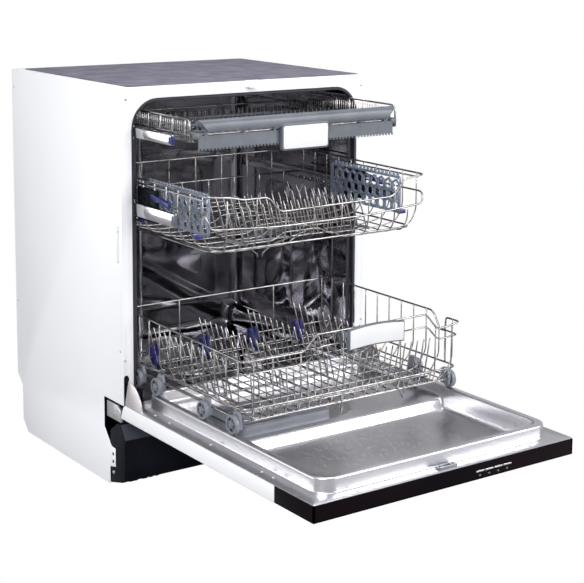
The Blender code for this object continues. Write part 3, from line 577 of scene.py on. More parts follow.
def back_sheet():
    """The back panel, with pressed beads and a grid of ventilation slots low down."""
    bm = bmesh.new()
    edge = HALF - 0.0015
    block(bm, (-edge, BACK - SHEET, 0.1312), (edge, BACK, HEIGHT - 0.0035), 0.0004)
    for x in (-0.20, -0.10, 0.0, 0.10, 0.20):
        block(bm, (x - 0.009, BACK - 0.002, 0.22), (x + 0.009, BACK + 0.0012, 0.76), 0.0011, 3)
    for z in (0.165, 0.180, 0.195):
        for number in range(9):
            x = -0.12 + number * 0.03
            block(bm, (x - 0.010, BACK - 0.001, z - 0.002), (x + 0.010, BACK + 0.0009, z + 0.002), 0.0008)
    piece("back_sheet", bm, GALVANISED, "cabinet", ["back_panel"])
    screws = bmesh.new()
    for x in (-0.28, 0.28):
        for z in (0.16, 0.36, 0.58, 0.79):
            screw_head(screws, (x, BACK, z), "Y", 0.0035, 1)
    piece("back_screws", screws, SILVER, "cabinet")
    inlet = bmesh.new()
    lathe(
        inlet,
        [
            (0.006, 0.012), (0.010, 0.012), (0.010, 0.001), (0.016, 0.001), (0.016, -0.012),
            (0.006, -0.012), (0.006, 0.012),
        ],
        (-0.20, BACK - 0.022, 0.075), "Y", 24,
    )
    lathe(
        inlet,
        [
            (0.0085, 0.012), (0.0125, 0.012), (0.0125, 0.001), (0.018, 0.001), (0.018, -0.012),
            (0.0085, -0.012), (0.0085, 0.012),
        ],
        (-0.15, BACK - 0.022, 0.075), "Y", 24,
    )
    block(inlet, (0.16, BACK - 0.034, 0.060), (0.20, BACK - 0.012, 0.090), 0.002, 3)
    piece("water_and_mains_inlets", inlet, BLACK, "cabinet")


def kick():
    bm = bmesh.new()
    front = FRONT
    back = FRONT + 0.0609
    edge = HALF - 0.0015
    outline = [
        (front, 0.0245),
        (front + 0.012, 0.018),
        (back, 0.005),
        (back, 0.117),
        (front + 0.030, 0.138),
        (front + 0.020, 0.138),
        (front, 0.107),
    ]
    plate(bm, outline, "X", -edge, edge, 0.0014, 3)
    for x, wide in ((-0.276, 0.010), (-0.250, 0.006), (-0.236, 0.004), (-0.222, 0.004), (0.252, 0.010)):
        block(bm, (x - wide, front + 0.002, 0.0205), (x + wide, front + 0.010, 0.0285), 0.0015)
    block(bm, (-edge + 0.003, front - 0.0012, 0.1015), (edge - 0.003, front + 0.003, 0.1035), 0.0007)
    piece("kick_board", bm, BLACK, "cabinet", ["kick_plate"])
    # The slope sheet is a painted highlight: the same black plastic as the kick board, drawn lighter where
    # the light catches the upward slope.
    slope = bmesh.new()
    low, high = (front + 0.0012, 0.1085), (front + 0.0190, 0.1366)
    rows = [
        [slope.verts.new((x, y - 0.0004, z + 0.0003)) for x in (-edge + 0.002, edge - 0.002)]
        for y, z in (low, high)
    ]
    rows += [
        [slope.verts.new((x, y + 0.0008, z - 0.0006)) for x in (-edge + 0.002, edge - 0.002)]
        for y, z in (high, low)
    ]
    for first, second in zip(rows, rows[1:] + rows[:1]):
        slope.faces.new((first[0], first[1], second[1], second[0]))
    slope.faces.new([row[0] for row in rows][::-1])
    slope.faces.new([row[1] for row in rows])
    piece("kick_slope_painted_highlight", slope, BLACK_PAINTED_HIGHLIGHT, "cabinet")
    tray = bmesh.new()
    block(tray, (-edge, back + 0.0004, 0.0050), (edge, BACK - 0.050, 0.0900), 0.003, 3)
    block(tray, (-0.060, BACK - 0.120, 0.0), (0.060, BACK - 0.070, 0.010), 0.002, 2)
    for x in (-0.2, -0.1, 0, 0.1, 0.2):
        block(tray, (x - 0.004, FRONT + 0.08, 0.0030), (x + 0.004, BACK - 0.07, 0.010), 0.001)
    piece("base_moulding", tray, BLACK, "cabinet", ["base_tray"])


def bracket(side, label):
    bm = bmesh.new()
    x = side * (HALF - 0.0015)
    left, right = sorted((x, x - side * 0.006))
    outline = [
        (FRONT + 0.016, 0.1425), (FRONT + 0.074, 0.1425), (FRONT + 0.074, 0.1760),
        (FRONT + 0.030, 0.1760), (FRONT + 0.016, 0.166),
    ]
    plate(bm, outline, "X", left, right, 0.0012, 2)
    lathe(
        bm,
        [
            (0, side * 0.0026), (0.003, side * 0.0026), (0.0036, side * 0.0018), (0.0062, side * 0.0018),
            (0.0075, side * 0.0004), (0.0075, side * -0.004), (0, side * -0.004),
        ],
        (side * (HALF - 0.0026), FRONT + 0.041, 0.156), "X", 24,
    )
    piece("hinge_fixing_" + label, bm, GALVANISED, "cabinet", ["hinge_bracket_" + label])


def foot(side, label):
    bm = bmesh.new()
    centre = (side * (HALF - 0.050), FRONT + 0.090, 0)
    profile = [
        (0, 0.045), (0.0046, 0.045), (0.005, 0.044), (0.005, 0.0047), (0.0165, 0.0046),
        (0.0185, 0.0036), (0.020, 0.0008), (0.0192, 0), (0, 0),
    ]
    lathe(bm, profile, centre, "Z", 24)
    piece("levelling_foot_" + label, bm, GREY, "cabinet", ["front_foot_" + label])


for side, label in sides():
    side_panel(side, label)
    kick_tab(side, label)
    bracket(side, label)
    foot(side, label)
top()
back_sheet()
kick()

# %% [markdown]
# ## Tub
# A pressed shell: a stack of loops from the mouth to the back, with rounded edges all round, ledges
# for the wheels, a sloped and pressed floor, and a black seal round the mouth.


# %%
def tub_loop(grow, y, drop=0.0):
    """One loop of the tub's section, at a depth."""
    side = TUB_IN + grow
    ledge = TUB_IN - 0.027 + grow
    top_z = TUB_TOP - SHEET + grow
    floor = TUB_FLOOR - grow - drop
    step = RIM_TOP - grow
    radius = TUB_CORNER + grow
    points = []
    points += arc(-ledge + 0.012, floor + 0.012, 0.012, 180, 270, 4)
    points += arc(ledge - 0.012, floor + 0.012, 0.012, 270, 360, 4)
    points += arc(ledge + 0.004, step - 0.006, 0.004, 180, 90, 3)
    points += [(side - 0.004, step - 0.0006)]
    points += arc(side - 0.003, step + 0.003, 0.003, 270, 360, 2)
    points += [(side, step + 0.1 + k * 0.1) for k in range(3)]
    points += arc(side - radius, top_z - radius, radius, 0, 90, 10)
    points += arc(-side + radius, top_z - radius, radius, 90, 180, 10)
    points += [(-side, step + 0.1 + k * 0.1) for k in (2, 1, 0)]
    points += arc(-side + 0.003, step + 0.003, 0.003, 180, 270, 2)
    points += [(-side + 0.004, step - 0.0006)]
    points += arc(-ledge - 0.004, step - 0.006, 0.004, 90, 0, 3)
    return [(u, y, v) for u, v in points]


def tub_shell():
    bm = bmesh.new()
    loops = [tub_loop(0.0012, TUB_FRONT), tub_loop(0, TUB_FRONT)]
    for share in (0.02, 0.25, 0.5, 0.75):
        loops.append(tub_loop(0, TUB_FRONT + share * (TUB_BACK - TUB_FRONT)))
    radius = 0.022
    for step in range(7):
        angle = math.radians(90 * step / 6)
        loops.append(
            tub_loop(
                -radius * (1 - math.cos(angle)) - 0.0001,
                TUB_BACK - SHEET - radius + radius * math.sin(angle),
            )
        )
    rings = [[bm.verts.new(p) for p in loop] for loop in loops]
    skin(bm, rings)
    bm.faces.new(rings[-1])
    outside = [tub_loop(0.0012, TUB_FRONT), tub_loop(0.0012, TUB_BACK)]
    outer = [rings[0], [bm.verts.new(p) for p in outside[1]]]
    skin(bm, outer)
    bm.faces.new(outer[-1])
    piece("tub_shell", bm, STEEL, "cabinet", ["tub"], 50)
    press = bmesh.new()
    for side in (-1, 1):
        for y in (-0.115, 0.045):
            x = side * TUB_IN
            left, right = sorted((x - side * 0.0025, x + side * 0.0006))
            plate(press, rounded(y - 0.055, 0.250, y + 0.055, 0.545, 0.022, 6), "X", left, right, 0.0022, 4)
    plate(
        press, rounded(-0.215, 0.235, 0.215, 0.70, 0.04, 8), "Y", TUB_BACK - 0.0045,
        TUB_BACK - 0.0006, 0.0032, 4,
    )
    piece("tub_beads", press, STEEL, "cabinet", (), 50)


def tub_floor():
    """The pressed floor: four sloped facets that fall to the sump."""
    bm = bmesh.new()
    rings = []
    sizes = (
        (0.2440, 0.226, 0.006), (0.2300, 0.212, 0.0045), (0.2200, 0.200, 0.0015),
        (0.130, 0.125, 0.0008), (0.112, 0.112, 0.0002),
    )
    for across, deep, rise in sizes:
        radius = 0.04 if across > 0.14 else 0.1115
        loop = rounded(-across, TUB_MIDDLE - deep, across, TUB_MIDDLE + deep, radius, 8)
        rings.append([bm.verts.new((u, v, TUB_FLOOR + rise)) for u, v in loop])
    skin(bm, rings)
    low = [bm.verts.new((v.co.x, v.co.y, TUB_FLOOR + 0.0001)) for v in rings[-1]]
    skin(bm, [rings[-1], low])
    base = [bm.verts.new((v.co.x, v.co.y, TUB_FLOOR + 0.0001)) for v in rings[0]]
    skin(bm, [base, rings[0]])
    skin(bm, [low, base])
    piece("tub_floor_pressing", bm, STEEL, "cabinet", (), 60)
    bm = bmesh.new()
    lathe(
        bm,
        [
            (0.0365, 0.1700), (0.060, 0.1688), (0.105, 0.1698), (0.1075, 0.1672), (0.105, 0.1664),
            (0.0365, 0.1664), (0.0365, 0.1700),
        ],
        (0, TUB_MIDDLE, 0), "Z", 64,
    )
    piece("fine_filter_plate", bm, SILVER, "cabinet", ["filter_plate"])
    mesh = bmesh.new()
    for ring in range(3):
        radius = 0.052 + ring * 0.018
        count = 18 + ring * 8
        for number in range(count):
            angle = 2 * math.pi * number / count
            x = radius * math.cos(angle)
            y = TUB_MIDDLE + radius * math.sin(angle)
            lathe(
                mesh, [(0, 0.0003), (0.0024, 0.0003), (0.0024, -0.0004), (0, -0.0004)],
                (x, y, 0.1697), "Z", 8,
            )
    piece("filter_holes", mesh, BLACK, "cabinet")
    cup = bmesh.new()
    profile = [
        (0, 0.112), (0.030, 0.112), (0.030, 0.1700), (0.0335, 0.1712), (0.0352, 0.1725),
        (0.0352, 0.1762), (0.033, 0.1770), (0.029, 0.1762), (0.026, 0.1700), (0.0, 0.1690),
    ]
    lathe(cup, profile, (0, TUB_MIDDLE, 0), "Z", 40)
    block(cup, (-0.027, TUB_MIDDLE - 0.0025, 0.1685), (0.027, TUB_MIDDLE + 0.0025, 0.1768), 0.001)
    block(cup, (-0.0025, TUB_MIDDLE - 0.027, 0.1685), (0.0025, TUB_MIDDLE + 0.027, 0.1760), 0.001)
    piece("coarse_filter_cup", cup, GREY, "filter", ["filter_cup"])
    salt = bmesh.new()
    lathe(
        salt,
        [(0, 0.1790), (0.022, 0.1785), (0.0265, 0.1765), (0.0300, 0.1680), (0.0295, 0.1665), (0, 0.1665)],
        (-0.170, TUB_MIDDLE + 0.060, 0), "Z", 40,
    )
    block(salt, (-0.1735, TUB_MIDDLE + 0.040, 0.1760), (-0.1665, TUB_MIDDLE + 0.080, 0.1845), 0.0016)
    for number in range(20):
        angle = 2 * math.pi * number / 20
        x = -0.170 + 0.0292 * math.cos(angle)
        y = TUB_MIDDLE + 0.060 + 0.0292 * math.sin(angle)
        block(salt, (x - 0.0014, y - 0.0014, 0.1668), (x + 0.0014, y + 0.0014, 0.1735), 0.0006)
    piece("salt_cap_grip", salt, PALE, "salt", ["salt_cap"])


def seal():
    """A lipped black seal round the mouth, shallow at the sides where the rails pass."""
    bm = bmesh.new()
    rows = []
    for inset, y in (
        (0.0, FRONT + 0.0008), (0.0, TUB_FRONT - 0.0005), (0.0040, TUB_FRONT - 0.0005),
        (0.0052, FRONT + 0.009), (0.0044, FRONT + 0.005), (0.0056, FRONT + 0.002),
        (0.0040, FRONT + 0.0008),
    ):
        side = TUB_IN - min(inset, SEAL_REACH)
        high = TUB_TOP - SHEET - inset
        radius = TUB_CORNER - inset
        points = [(side, RIM_TOP + 0.002)]
        points += arc(side - radius, high - radius, radius, 0, 90, 12)
        points += arc(-side + radius, high - radius, radius, 90, 180, 12)
        points += [(-side, RIM_TOP + 0.002)]
        rows.append([bm.verts.new((u, y, v)) for u, v in points])
    skin(bm, rows, closed=True, round_too=False)
    bm.faces.new([row[0] for row in rows])
    bm.faces.new([row[-1] for row in rows][::-1])
    piece("mouth_seal", bm, RUBBER, "cabinet", ["door_gasket"])
    strips = bmesh.new()
    for side in (-1, 1):
        left, right = span(side, TUB_IN - 0.014, TUB_IN - 0.0056)
        for low, high in ((RIM_TOP + 0.004, 0.560), (0.595, 0.715)):
            block(strips, (left, FRONT + 0.010, low), (right, FRONT + 0.013, high), 0.0008)
    piece("seal_strips", strips, RUBBER, "cabinet")


def spray_arm(name, body, node, centre, reach, width, thick, angle, finish):
    """A hollow-looking two-blade arm: a lofted blade with raised jets and a round hub."""
    bm = bmesh.new()
    rings = []
    shares = (-1.0, -0.985, -0.93, -0.7, -0.4, -0.15, 0, 0.15, 0.4, 0.7, 0.93, 0.985, 1.0)
    for share in shares:
        wide = width * (0.5 + 0.28 * (1 - abs(share)))
        high = thick / 2
        if abs(share) > 0.97:
            wide *= 0.72 if abs(share) < 0.99 else 0.35
            high *= 0.8 if abs(share) < 0.99 else 0.4
        bend = 0.006 * math.sin(share * math.pi)
        ring = []
        for step in range(12):
            a = 2 * math.pi * step / 12
            ring.append(
                bm.verts.new(
                    (
                        share * reach, bend + wide / 2 * math.cos(a),
                        high * max(-1, min(1, 1.35 * math.sin(a))),
                    )
                )
            )
        rings.append(ring)
    skin(bm, rings)
    bm.faces.new(rings[0][::-1])
    bm.faces.new(rings[-1])
    lathe(
        bm,
        [
            (0, thick * 0.95), (width * 0.42, thick * 0.9), (width * 0.5, thick * 0.4),
            (width * 0.5, -thick * 0.6), (width * 0.35, -thick * 0.9), (0, -thick * 0.9),
        ],
        (0, 0, 0), "Z", 32,
    )
    for share in (-0.9, -0.72, -0.5, -0.3, 0.34, 0.56, 0.76, 0.92):
        lathe(
            bm,
            [(0.0013, 0.0012), (0.003, 0.0010), (0.0038, -0.0012), (0.0013, -0.0012), (0.0013, 0.0012)],
            (share * reach, 0.003 * (1 if share > 0 else -1), thick / 2), "Z", 14,
        )
    turn = Matrix.Translation(Vector(centre)) @ Matrix.Rotation(angle, 4, "Z")
    bmesh.ops.transform(bm, matrix=turn, verts=bm.verts)
    piece(name, bm, finish, body, [node], 45)


def feed():
    bm = bmesh.new()
    y = TUB_BACK - 0.010
    sweep(bm, [(0, y, 0.156), (0, y, 0.30), (0, y, 0.50), (0, y, TUB_TOP - 0.0125)], 0.006, 20)
    for z in (0.35, 0.60):
        lathe(
            bm,
            [(0.006, 0.006), (0.0078, 0.005), (0.0078, -0.005), (0.006, -0.006), (0.006, 0.006)],
            (0, y, z), "Z", 20,
        )
    piece("water_feed_tube", bm, RAIL, "cabinet", ["feed_tube"])


tub_shell()
tub_floor()
seal()
feed()
spray_arm(
    "lower_arm_blades", "lower_arm", "lower_spray_arm", (0, TUB_MIDDLE, 0.2005), 0.207, 0.036,
    0.010, math.radians(35), GREY,
)
spray_arm(
    "top_arm_blades", "top_arm", "top_spray_arm", (0, TUB_MIDDLE, 0.7828), 0.110, 0.026, 0.006,
    math.radians(20), GREY,
)
for node, finish in (("circulation_pump", CAST), ("water_softener", PALE), ("sump", BLACK)):
    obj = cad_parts[node]
    obj.data.materials.clear()
    obj.data.materials.append(finish)

# %% [markdown]
# ## Door
# The pressed inner door is a stack of rounded rectangles: a flat flange, a bullnose rim, then a
# plateau that slopes down to a deep recess. Below it are the white outer panel and the black fascia.


# %%
def door_base(y):
    """The height of the pressed floor inside the rim, along the door."""
    d = y - FRONT
    deep = FLANGE_Z - 0.0225
    if d > -0.321:
        return FLANGE_Z + 0.0004
    if d > -0.337:
        t = (-0.321 - d) / 0.016
        t = t * t * (3 - 2 * t)
        return FLANGE_Z + 0.0004 + (deep - FLANGE_Z - 0.0004) * t
    return deep


def door_loop(across, near, far, radius, stops):
    """A loop with fixed stops along its long sides, so that loops of different size match."""
    points = arc(-across + radius, far + radius, radius, 270, 180, 6)[::1]
    points = arc(-across + radius, far + radius, radius, 180, 270, 6)
    points += arc(across - radius, far + radius, radius, 270, 360, 6)
    points += [(across, max(far + radius, min(near - radius, y))) for y in stops]
    points += arc(across - radius, near - radius, radius, 0, 90, 6)
    points += arc(-across + radius, near - radius, radius, 90, 180, 6)
    points += [(-across, max(far + radius, min(near - radius, y))) for y in reversed(stops)]
    return points


def inner_door():
    bm = bmesh.new()
    near = FRONT - 0.030
    far = DOOR_TIP + 0.0265
    slope = [FRONT - 0.337 + 0.016 * k / 8 for k in range(9)]
    stops = [far + 0.06, far + 0.12, far + 0.18] + slope + [
        FRONT - 0.28, FRONT - 0.22, FRONT - 0.16, FRONT - 0.10,
    ]
    rows = []

    def ring(across, back, front, radius, height, follow=0.0):
        row = []
        for u, v in door_loop(across, back, front, radius, stops):
            z = height
            if follow:
                z = height + follow * (door_base(v) - FLANGE_Z)
            row.append(bm.verts.new((u, v, z)))
        rows.append(row)

    edge = HALF - 0.0006
    ring(edge, FRONT - 0.0045, DOOR_TIP + 0.0004, 0.003, FLANGE_Z - 0.0012)
    ring(edge, FRONT - 0.0045, DOOR_TIP + 0.0004, 0.003, FLANGE_Z - 0.0004)
    ring(edge - 0.0005, FRONT - 0.005, DOOR_TIP + 0.001, 0.003, FLANGE_Z)
    ring(RIM_HALF + 0.0030, near + 0.0030, far - 0.0030, 0.037, FLANGE_Z)
    ring(RIM_HALF + 0.0012, near + 0.0012, far - 0.0012, 0.0355, FLANGE_Z + 0.0004)
    ring(RIM_HALF + 0.0004, near + 0.0004, far - 0.0004, 0.0345, FLANGE_Z + 0.0014)
    ring(RIM_HALF, near, far, 0.034, FLANGE_Z + 0.0040)
    ring(RIM_HALF, near, far, 0.034, RIM_TOP - 0.008)
    bend = 0.0034
    for step in range(7):
        angle = math.pi / 2 * step / 6
        inset = bend * (1 - math.cos(angle))
        ring(
            RIM_HALF - inset, near - inset, far + inset, 0.034 - inset * 0.6,
            RIM_TOP - bend + bend * math.sin(angle),
        )
    for step in range(7):
        angle = math.pi / 2 * step / 6
        inset = RIM_WIDTH - bend + bend * math.sin(angle)
        ring(
            RIM_HALF - inset, near - inset, far + inset, 0.034 - inset * 0.6,
            RIM_TOP - bend + bend * math.cos(angle),
        )
    inner = RIM_HALF - RIM_WIDTH
    ring(inner - 0.0003, near - RIM_WIDTH, far + RIM_WIDTH, 0.025, FLANGE_Z + 0.010, 0.3)
    ring(inner - 0.0010, near - RIM_WIDTH - 0.0006, far + RIM_WIDTH + 0.0012, 0.0245, FLANGE_Z + 0.006, 0.7)
    ring(
        inner - 0.0030, near - RIM_WIDTH - 0.002, far + RIM_WIDTH + 0.0035, 0.0235,
        FLANGE_Z + 0.0018, 0.96,
    )
    ring(inner - 0.0065, near - RIM_WIDTH - 0.005, far + RIM_WIDTH + 0.0075, 0.022, FLANGE_Z, 1.0)
    skin(bm, rows)
    last = rows[-1]
    count = len(last)
    corner = 7
    side_count = len(stops)
    right = last[corner : corner + corner + side_count + corner]
    left = [last[i % count] for i in range(count + corner - 1, count + corner - 1 - len(right), -1)]
    columns = 8
    grid = []
    for a, b in zip(left, right):
        row = [a]
        for k in range(1, columns):
            u = a.co.x + (b.co.x - a.co.x) * k / columns
            row.append(bm.verts.new((u, b.co.y, door_base(b.co.y))))
        row.append(b)
        grid.append(row)
    for first, second in zip(grid, grid[1:]):
        for k in range(columns):
            corners = []
            for vert in (first[k], first[k + 1], second[k + 1], second[k]):
                if vert not in corners:
                    corners.append(vert)
            if len(corners) > 2:
                bm.faces.new(corners)
    piece("inner_door_pressing", bm, LINER, "door", ["door_liner"], 45)
    trim = bmesh.new()
    for side in (-1, 1):
        for d in (-0.095, -0.150, -0.300, -0.470, -0.505):
            screw_head(trim, (side * 0.2815, FRONT + d, FLANGE_Z + 0.0002), "Z", 0.0030, 1)
    for x in (-0.20, 0.20):
        screw_head(trim, (x, DOOR_TIP + 0.012, FLANGE_Z + 0.0002), "Z", 0.0028, 1)
    piece("door_screws", trim, GALVANISED, "door")


def outer_door():
    bm = bmesh.new()
    start = PANEL_START + 0.0006
    block(bm, (-HALF, start, FACE_Z), (HALF, FRONT + 0.011, FACE_Z + SHEET), 0.0005)
    for side in (-1, 1):
        left, right = span(side, HALF - SHEET, HALF)
        wall = [
            (start, FACE_Z), (start, FLANGE_Z - 0.0016), (FRONT - 0.0045, FLANGE_Z - 0.0016),
            (FRONT + 0.0025, FLANGE_Z - 0.008), (FRONT + 0.011, FACE_Z + 0.004),
            (FRONT + 0.011, FACE_Z),
        ]
        plate(bm, wall, "X", left, right, 0.0005)
    piece("door_outer_pan", bm, ENAMEL, "door", ["door_outer_panel"])
    studs = bmesh.new()
    for x in (-0.22, 0.22):
        for y in (FRONT - 0.16, FRONT - 0.42):
            lathe(
                studs, [(0, -0.0004), (0.004, -0.0004), (0.0055, 0.0004), (0, 0.0004)],
                (x, y, FACE_Z - 0.0002), "Z", 20,
            )
    piece("front_panel_fixings", studs, GALVANISED, "door")


def fascia():
    bm = bmesh.new()
    block(bm, (-HALF, DOOR_TIP, FACE_Z), (HALF, DOOR_TIP + 0.004, FLANGE_Z - 0.0016), 0.0007, 3)
    for side in (-1, 1):
        left, right = span(side, HALF - 0.004, HALF)
        block(bm, (left, DOOR_TIP, FACE_Z), (right, PANEL_START, FLANGE_Z - 0.0016), 0.0007, 3)
    block(bm, (-HALF, DOOR_TIP, FACE_Z), (HALF, PANEL_START, FACE_Z + 0.003), 0.0007, 3)
    piece("fascia", bm, GLOSS, "door", ["control_panel"])
    z = FLANGE_Z - SHEET - 0.0155
    for number in range(4):
        x = 0.0675 + number * 0.0218
        key = bmesh.new()
        block(
            key, (x - 0.00985, DOOR_TIP - 0.0007, z - 0.00145),
            (x + 0.00985, DOOR_TIP + 0.004, z + 0.00145), 0.0005, 3,
        )
        piece(
            f"key_cap_{number + 1}", key, SILVER, f"key_{number + 1}",
            [f"program_key_{number + 1}"],
        )
    marks = bmesh.new()
    for number in range(4):
        x = 0.0675 + number * 0.0218
        lathe(
            marks,
            [(0.0011, 0.00012), (0.0016, 0.00012), (0.0016, -0.0001), (0.0011, -0.0001), (0.0011, 0.00012)],
            (x, DOOR_TIP, z - 0.0078), "Y", 16,
        )
        block(
            marks, (x - 0.0036, DOOR_TIP - 0.0001, z - 0.0081),
            (x - 0.0024, DOOR_TIP + 0.0005, z - 0.0075), 0,
        )
    piece("key_lamps", marks, SILVER, "door")


def lock():
    bm = bmesh.new()
    y = DOOR_TIP + 0.0145
    low = FLANGE_Z + 0.0002
    outer = rounded(-0.021, y - 0.0075, 0.021, y + 0.0075, 0.003, 4)
    inner = rounded(-0.009, y - 0.0035, 0.009, y + 0.0035, 0.0012, 4)
    framed(bm, outer, inner, "Z", low, FLANGE_Z + 0.0042)
    block(bm, (-0.0088, y - 0.0034, low), (0.0088, y + 0.0034, low + 0.0012), 0)
    for x in (-0.015, 0.015):
        screw_head(bm, (x, y, FLANGE_Z + 0.0044), "Z", 0.0024, 1)
    piece("lock_case", bm, PALE, "door", ["door_lock"], 40)


def quadrant(side, label):
    bm = bmesh.new()
    left, right = span(side, HALF - 0.0048, HALF - 0.0018)
    low = FACE_Z + 0.0016
    outline = [(FRONT - 0.0035, low), (FRONT - 0.0035, PIVOT_Z + 0.012)]
    for step in range(15):
        angle = math.radians(97 + step * 73 / 14)
        outline.append((PIVOT_Y + 0.0608 * math.cos(angle), PIVOT_Z + 0.0608 * math.sin(angle)))
    outline += [
        (PIVOT_Y - 0.066, FLANGE_Z - 0.004), (PIVOT_Y - 0.258, FLANGE_Z - 0.006),
        (PIVOT_Y - 0.258, low),
    ]
    plate(bm, outline, "X", left, right, 0.0007, 2)
    piece("hinge_quadrant_" + label, bm, QUADRANT, "door", ["hinge_arm_" + label])


def dispenser():
    low = FLANGE_Z + 0.0005
    high = FLANGE_Z + 0.0003 + 0.0195
    left, right = -0.214, -0.008
    near = FRONT - 0.302
    far = near + 0.137
    bm = bmesh.new()
    part = bmesh.new()
    rings = []
    for inset, z in (
        (-0.002, low - 0.0003), (-0.0005, low + 0.002), (0.0, low + 0.008), (0.001, high - 0.002),
        (0.0025, high - 0.0005), (0.005, high),
    ):
        loop = rounded(left + inset, near + inset, right - inset, far - inset, 0.010, 6)
        rings.append([part.verts.new((u, v, z)) for u, v in loop])
    skin(part, rings)
    part.faces.new(rings[-1])
    part.faces.new(rings[0][::-1])
    merge(bm, part)
    block(
        bm, (left + 0.006, near + 0.001, high - 0.001), (left + 0.120, near + 0.007, high + 0.0012),
        0.0012, 3,
    )
    block(
        bm, (right - 0.086, near + 0.010, high - 0.001),
        (right - 0.006, near + 0.016, high + 0.0010), 0.0008, 2,
    )
    frame_outer = rounded(left + 0.011, near + 0.010, left + 0.109, far - 0.012, 0.006, 5)
    frame_inner = rounded(left + 0.0140, near + 0.0130, left + 0.1060, far - 0.0150, 0.004, 5)
    framed(bm, frame_outer, frame_inner, "Z", high - 0.0008, high + 0.0011)
    lathe(
        bm,
        [(0.0178, 0.0012), (0.0225, 0.0010), (0.0235, -0.001), (0.0178, -0.001), (0.0178, 0.0012)],
        (right - 0.050, near + 0.068, high), "Z", 48,
    )
    for k in range(6):
        block(
            bm, (right - 0.085, near + 0.098 + k * 0.005, high - 0.0006),
            (right - 0.020, near + 0.1005 + k * 0.005, high + 0.0006), 0.0005,
        )
    piece("dispenser_case", bm, PALE, "door", ["dispenser_body"], 40)
    slot_piece = bmesh.new()
    block(
        slot_piece, (left + 0.012, near + 0.0074, high - 0.0004),
        (left + 0.096, near + 0.0096, high + 0.0006), 0,
    )
    block(
        slot_piece, (left - 0.0005, near + 0.030, high - 0.0065),
        (left + 0.0015, far - 0.020, high - 0.0050), 0,
    )
    piece("dispenser_seams", slot_piece, BLACK, "door")
    lid = bmesh.new()
    shut = far - 0.016
    open_edge = shut - 0.058
    block(lid, (left + 0.0148, open_edge, high - 0.0042), (left + 0.1052, shut, high - 0.0002), 0.0016, 3)
    block(
        lid, (left + 0.040, open_edge + 0.0028, high - 0.001),
        (left + 0.080, open_edge + 0.0083, high + 0.0020), 0.0012, 3,
    )
    block(
        lid, (left + 0.026, open_edge + 0.014, high - 0.0008),
        (left + 0.094, shut - 0.008, high + 0.0004), 0.0004, 2,
    )
    piece("detergent_cover", lid, GREY, "lid", ["detergent_lid"])
    cap = bmesh.new()
    lathe(
        cap,
        [
            (0, high + 0.0040), (0.013, high + 0.0040), (0.0160, high + 0.0028),
            (0.0170, high - 0.001), (0.0170, high - 0.009), (0, high - 0.009),
        ],
        (right - 0.050, near + 0.068, 0), "Z", 40,
    )
    block(
        cap, (right - 0.0635, near + 0.0662, high + 0.0030),
        (right - 0.0365, near + 0.0698, high + 0.0088), 0.0014, 3,
    )
    piece("rinse_cap_knob", cap, GREY, "rinse_cap", ["rinse_aid_cap"])


inner_door()
outer_door()
fascia()
lock()
dispenser()
for side, label in sides():
    quadrant(side, label)

# %% [markdown]
# ## Lower basket
# One drawn-wire basket: a high rim with a stepped front, bars down the sides, a floor of wires both
# ways, belts round the foot, and rows of tines. The wheels sit in grey brackets along each side.

# %%
BASKET_FRONT = FRONT + 0.015 - 0.385
BASKET_BACK = BASKET_FRONT + 0.442
BASKET_FLOOR = WHEEL_Z + 0.002
BASKET_RIM = BASKET_FLOOR + 0.128
LEFT_ROW = -0.080
RIGHT_ROW = 0.040


def lower_rims(bm):
    half = 0.256
    back = BASKET_BACK
    front = BASKET_FRONT
    rim = BASKET_RIM
    path = [
        (-half, back, rim),
        (-half, front, rim - 0.008),
        (-0.122, front, rim - 0.0085),
        (-0.093, front, rim + 0.0200),
        (0.170, front, rim + 0.0205),
        (0.199, front, rim - 0.0125),
        (0.232, front, rim - 0.011),
        (half, front, rim - 0.006),
        (half, front + 0.040, rim - 0.006),
        (half, front + 0.042, rim - 0.034),
        (half, front + 0.058, rim - 0.034),
        (half, front + 0.076, rim - 0.006),
        (half, front + 0.086, rim),
        (half, back, rim),
    ]
    wire(bm, path, RIM_WIRE, 0.007, True)
    wire(
        bm, [(half, front + 0.041, rim - 0.030), (half, front + 0.041, BASKET_FLOOR + 0.030)],
        RIM_WIRE, 0.007,
    )
    low = [
        (-half + 0.001, front + 0.012, rim - 0.030),
        (-half + 0.004, front, rim - 0.031),
        (-0.118, front - 0.001, rim - 0.0315),
        (-0.088, front - 0.001, rim - 0.004),
        (-0.030, front - 0.001, rim - 0.003),
    ]
    wire(bm, low, RIM_WIRE * 0.9, 0.010)
    low = [
        (0.108, front - 0.001, rim - 0.004), (0.172, front - 0.001, rim - 0.004),
        (0.200, front - 0.001, rim - 0.034), (half - 0.004, front, rim - 0.032),
        (half - 0.001, front + 0.05, rim - 0.032),
    ]
    wire(bm, low, RIM_WIRE * 0.9, 0.010)
    for inset, z, radius in (
        (0.0015, BASKET_FLOOR + 0.030, RIM_WIRE), (0.008, BASKET_FLOOR + 0.006, RIM_WIRE),
    ):
        loop = [
            (-half + inset, back - inset, z), (-half + inset, front + inset, z),
            (half - inset, front + inset, z), (half - inset, back - inset, z),
        ]
        wire(bm, loop, radius, 0.022, True)


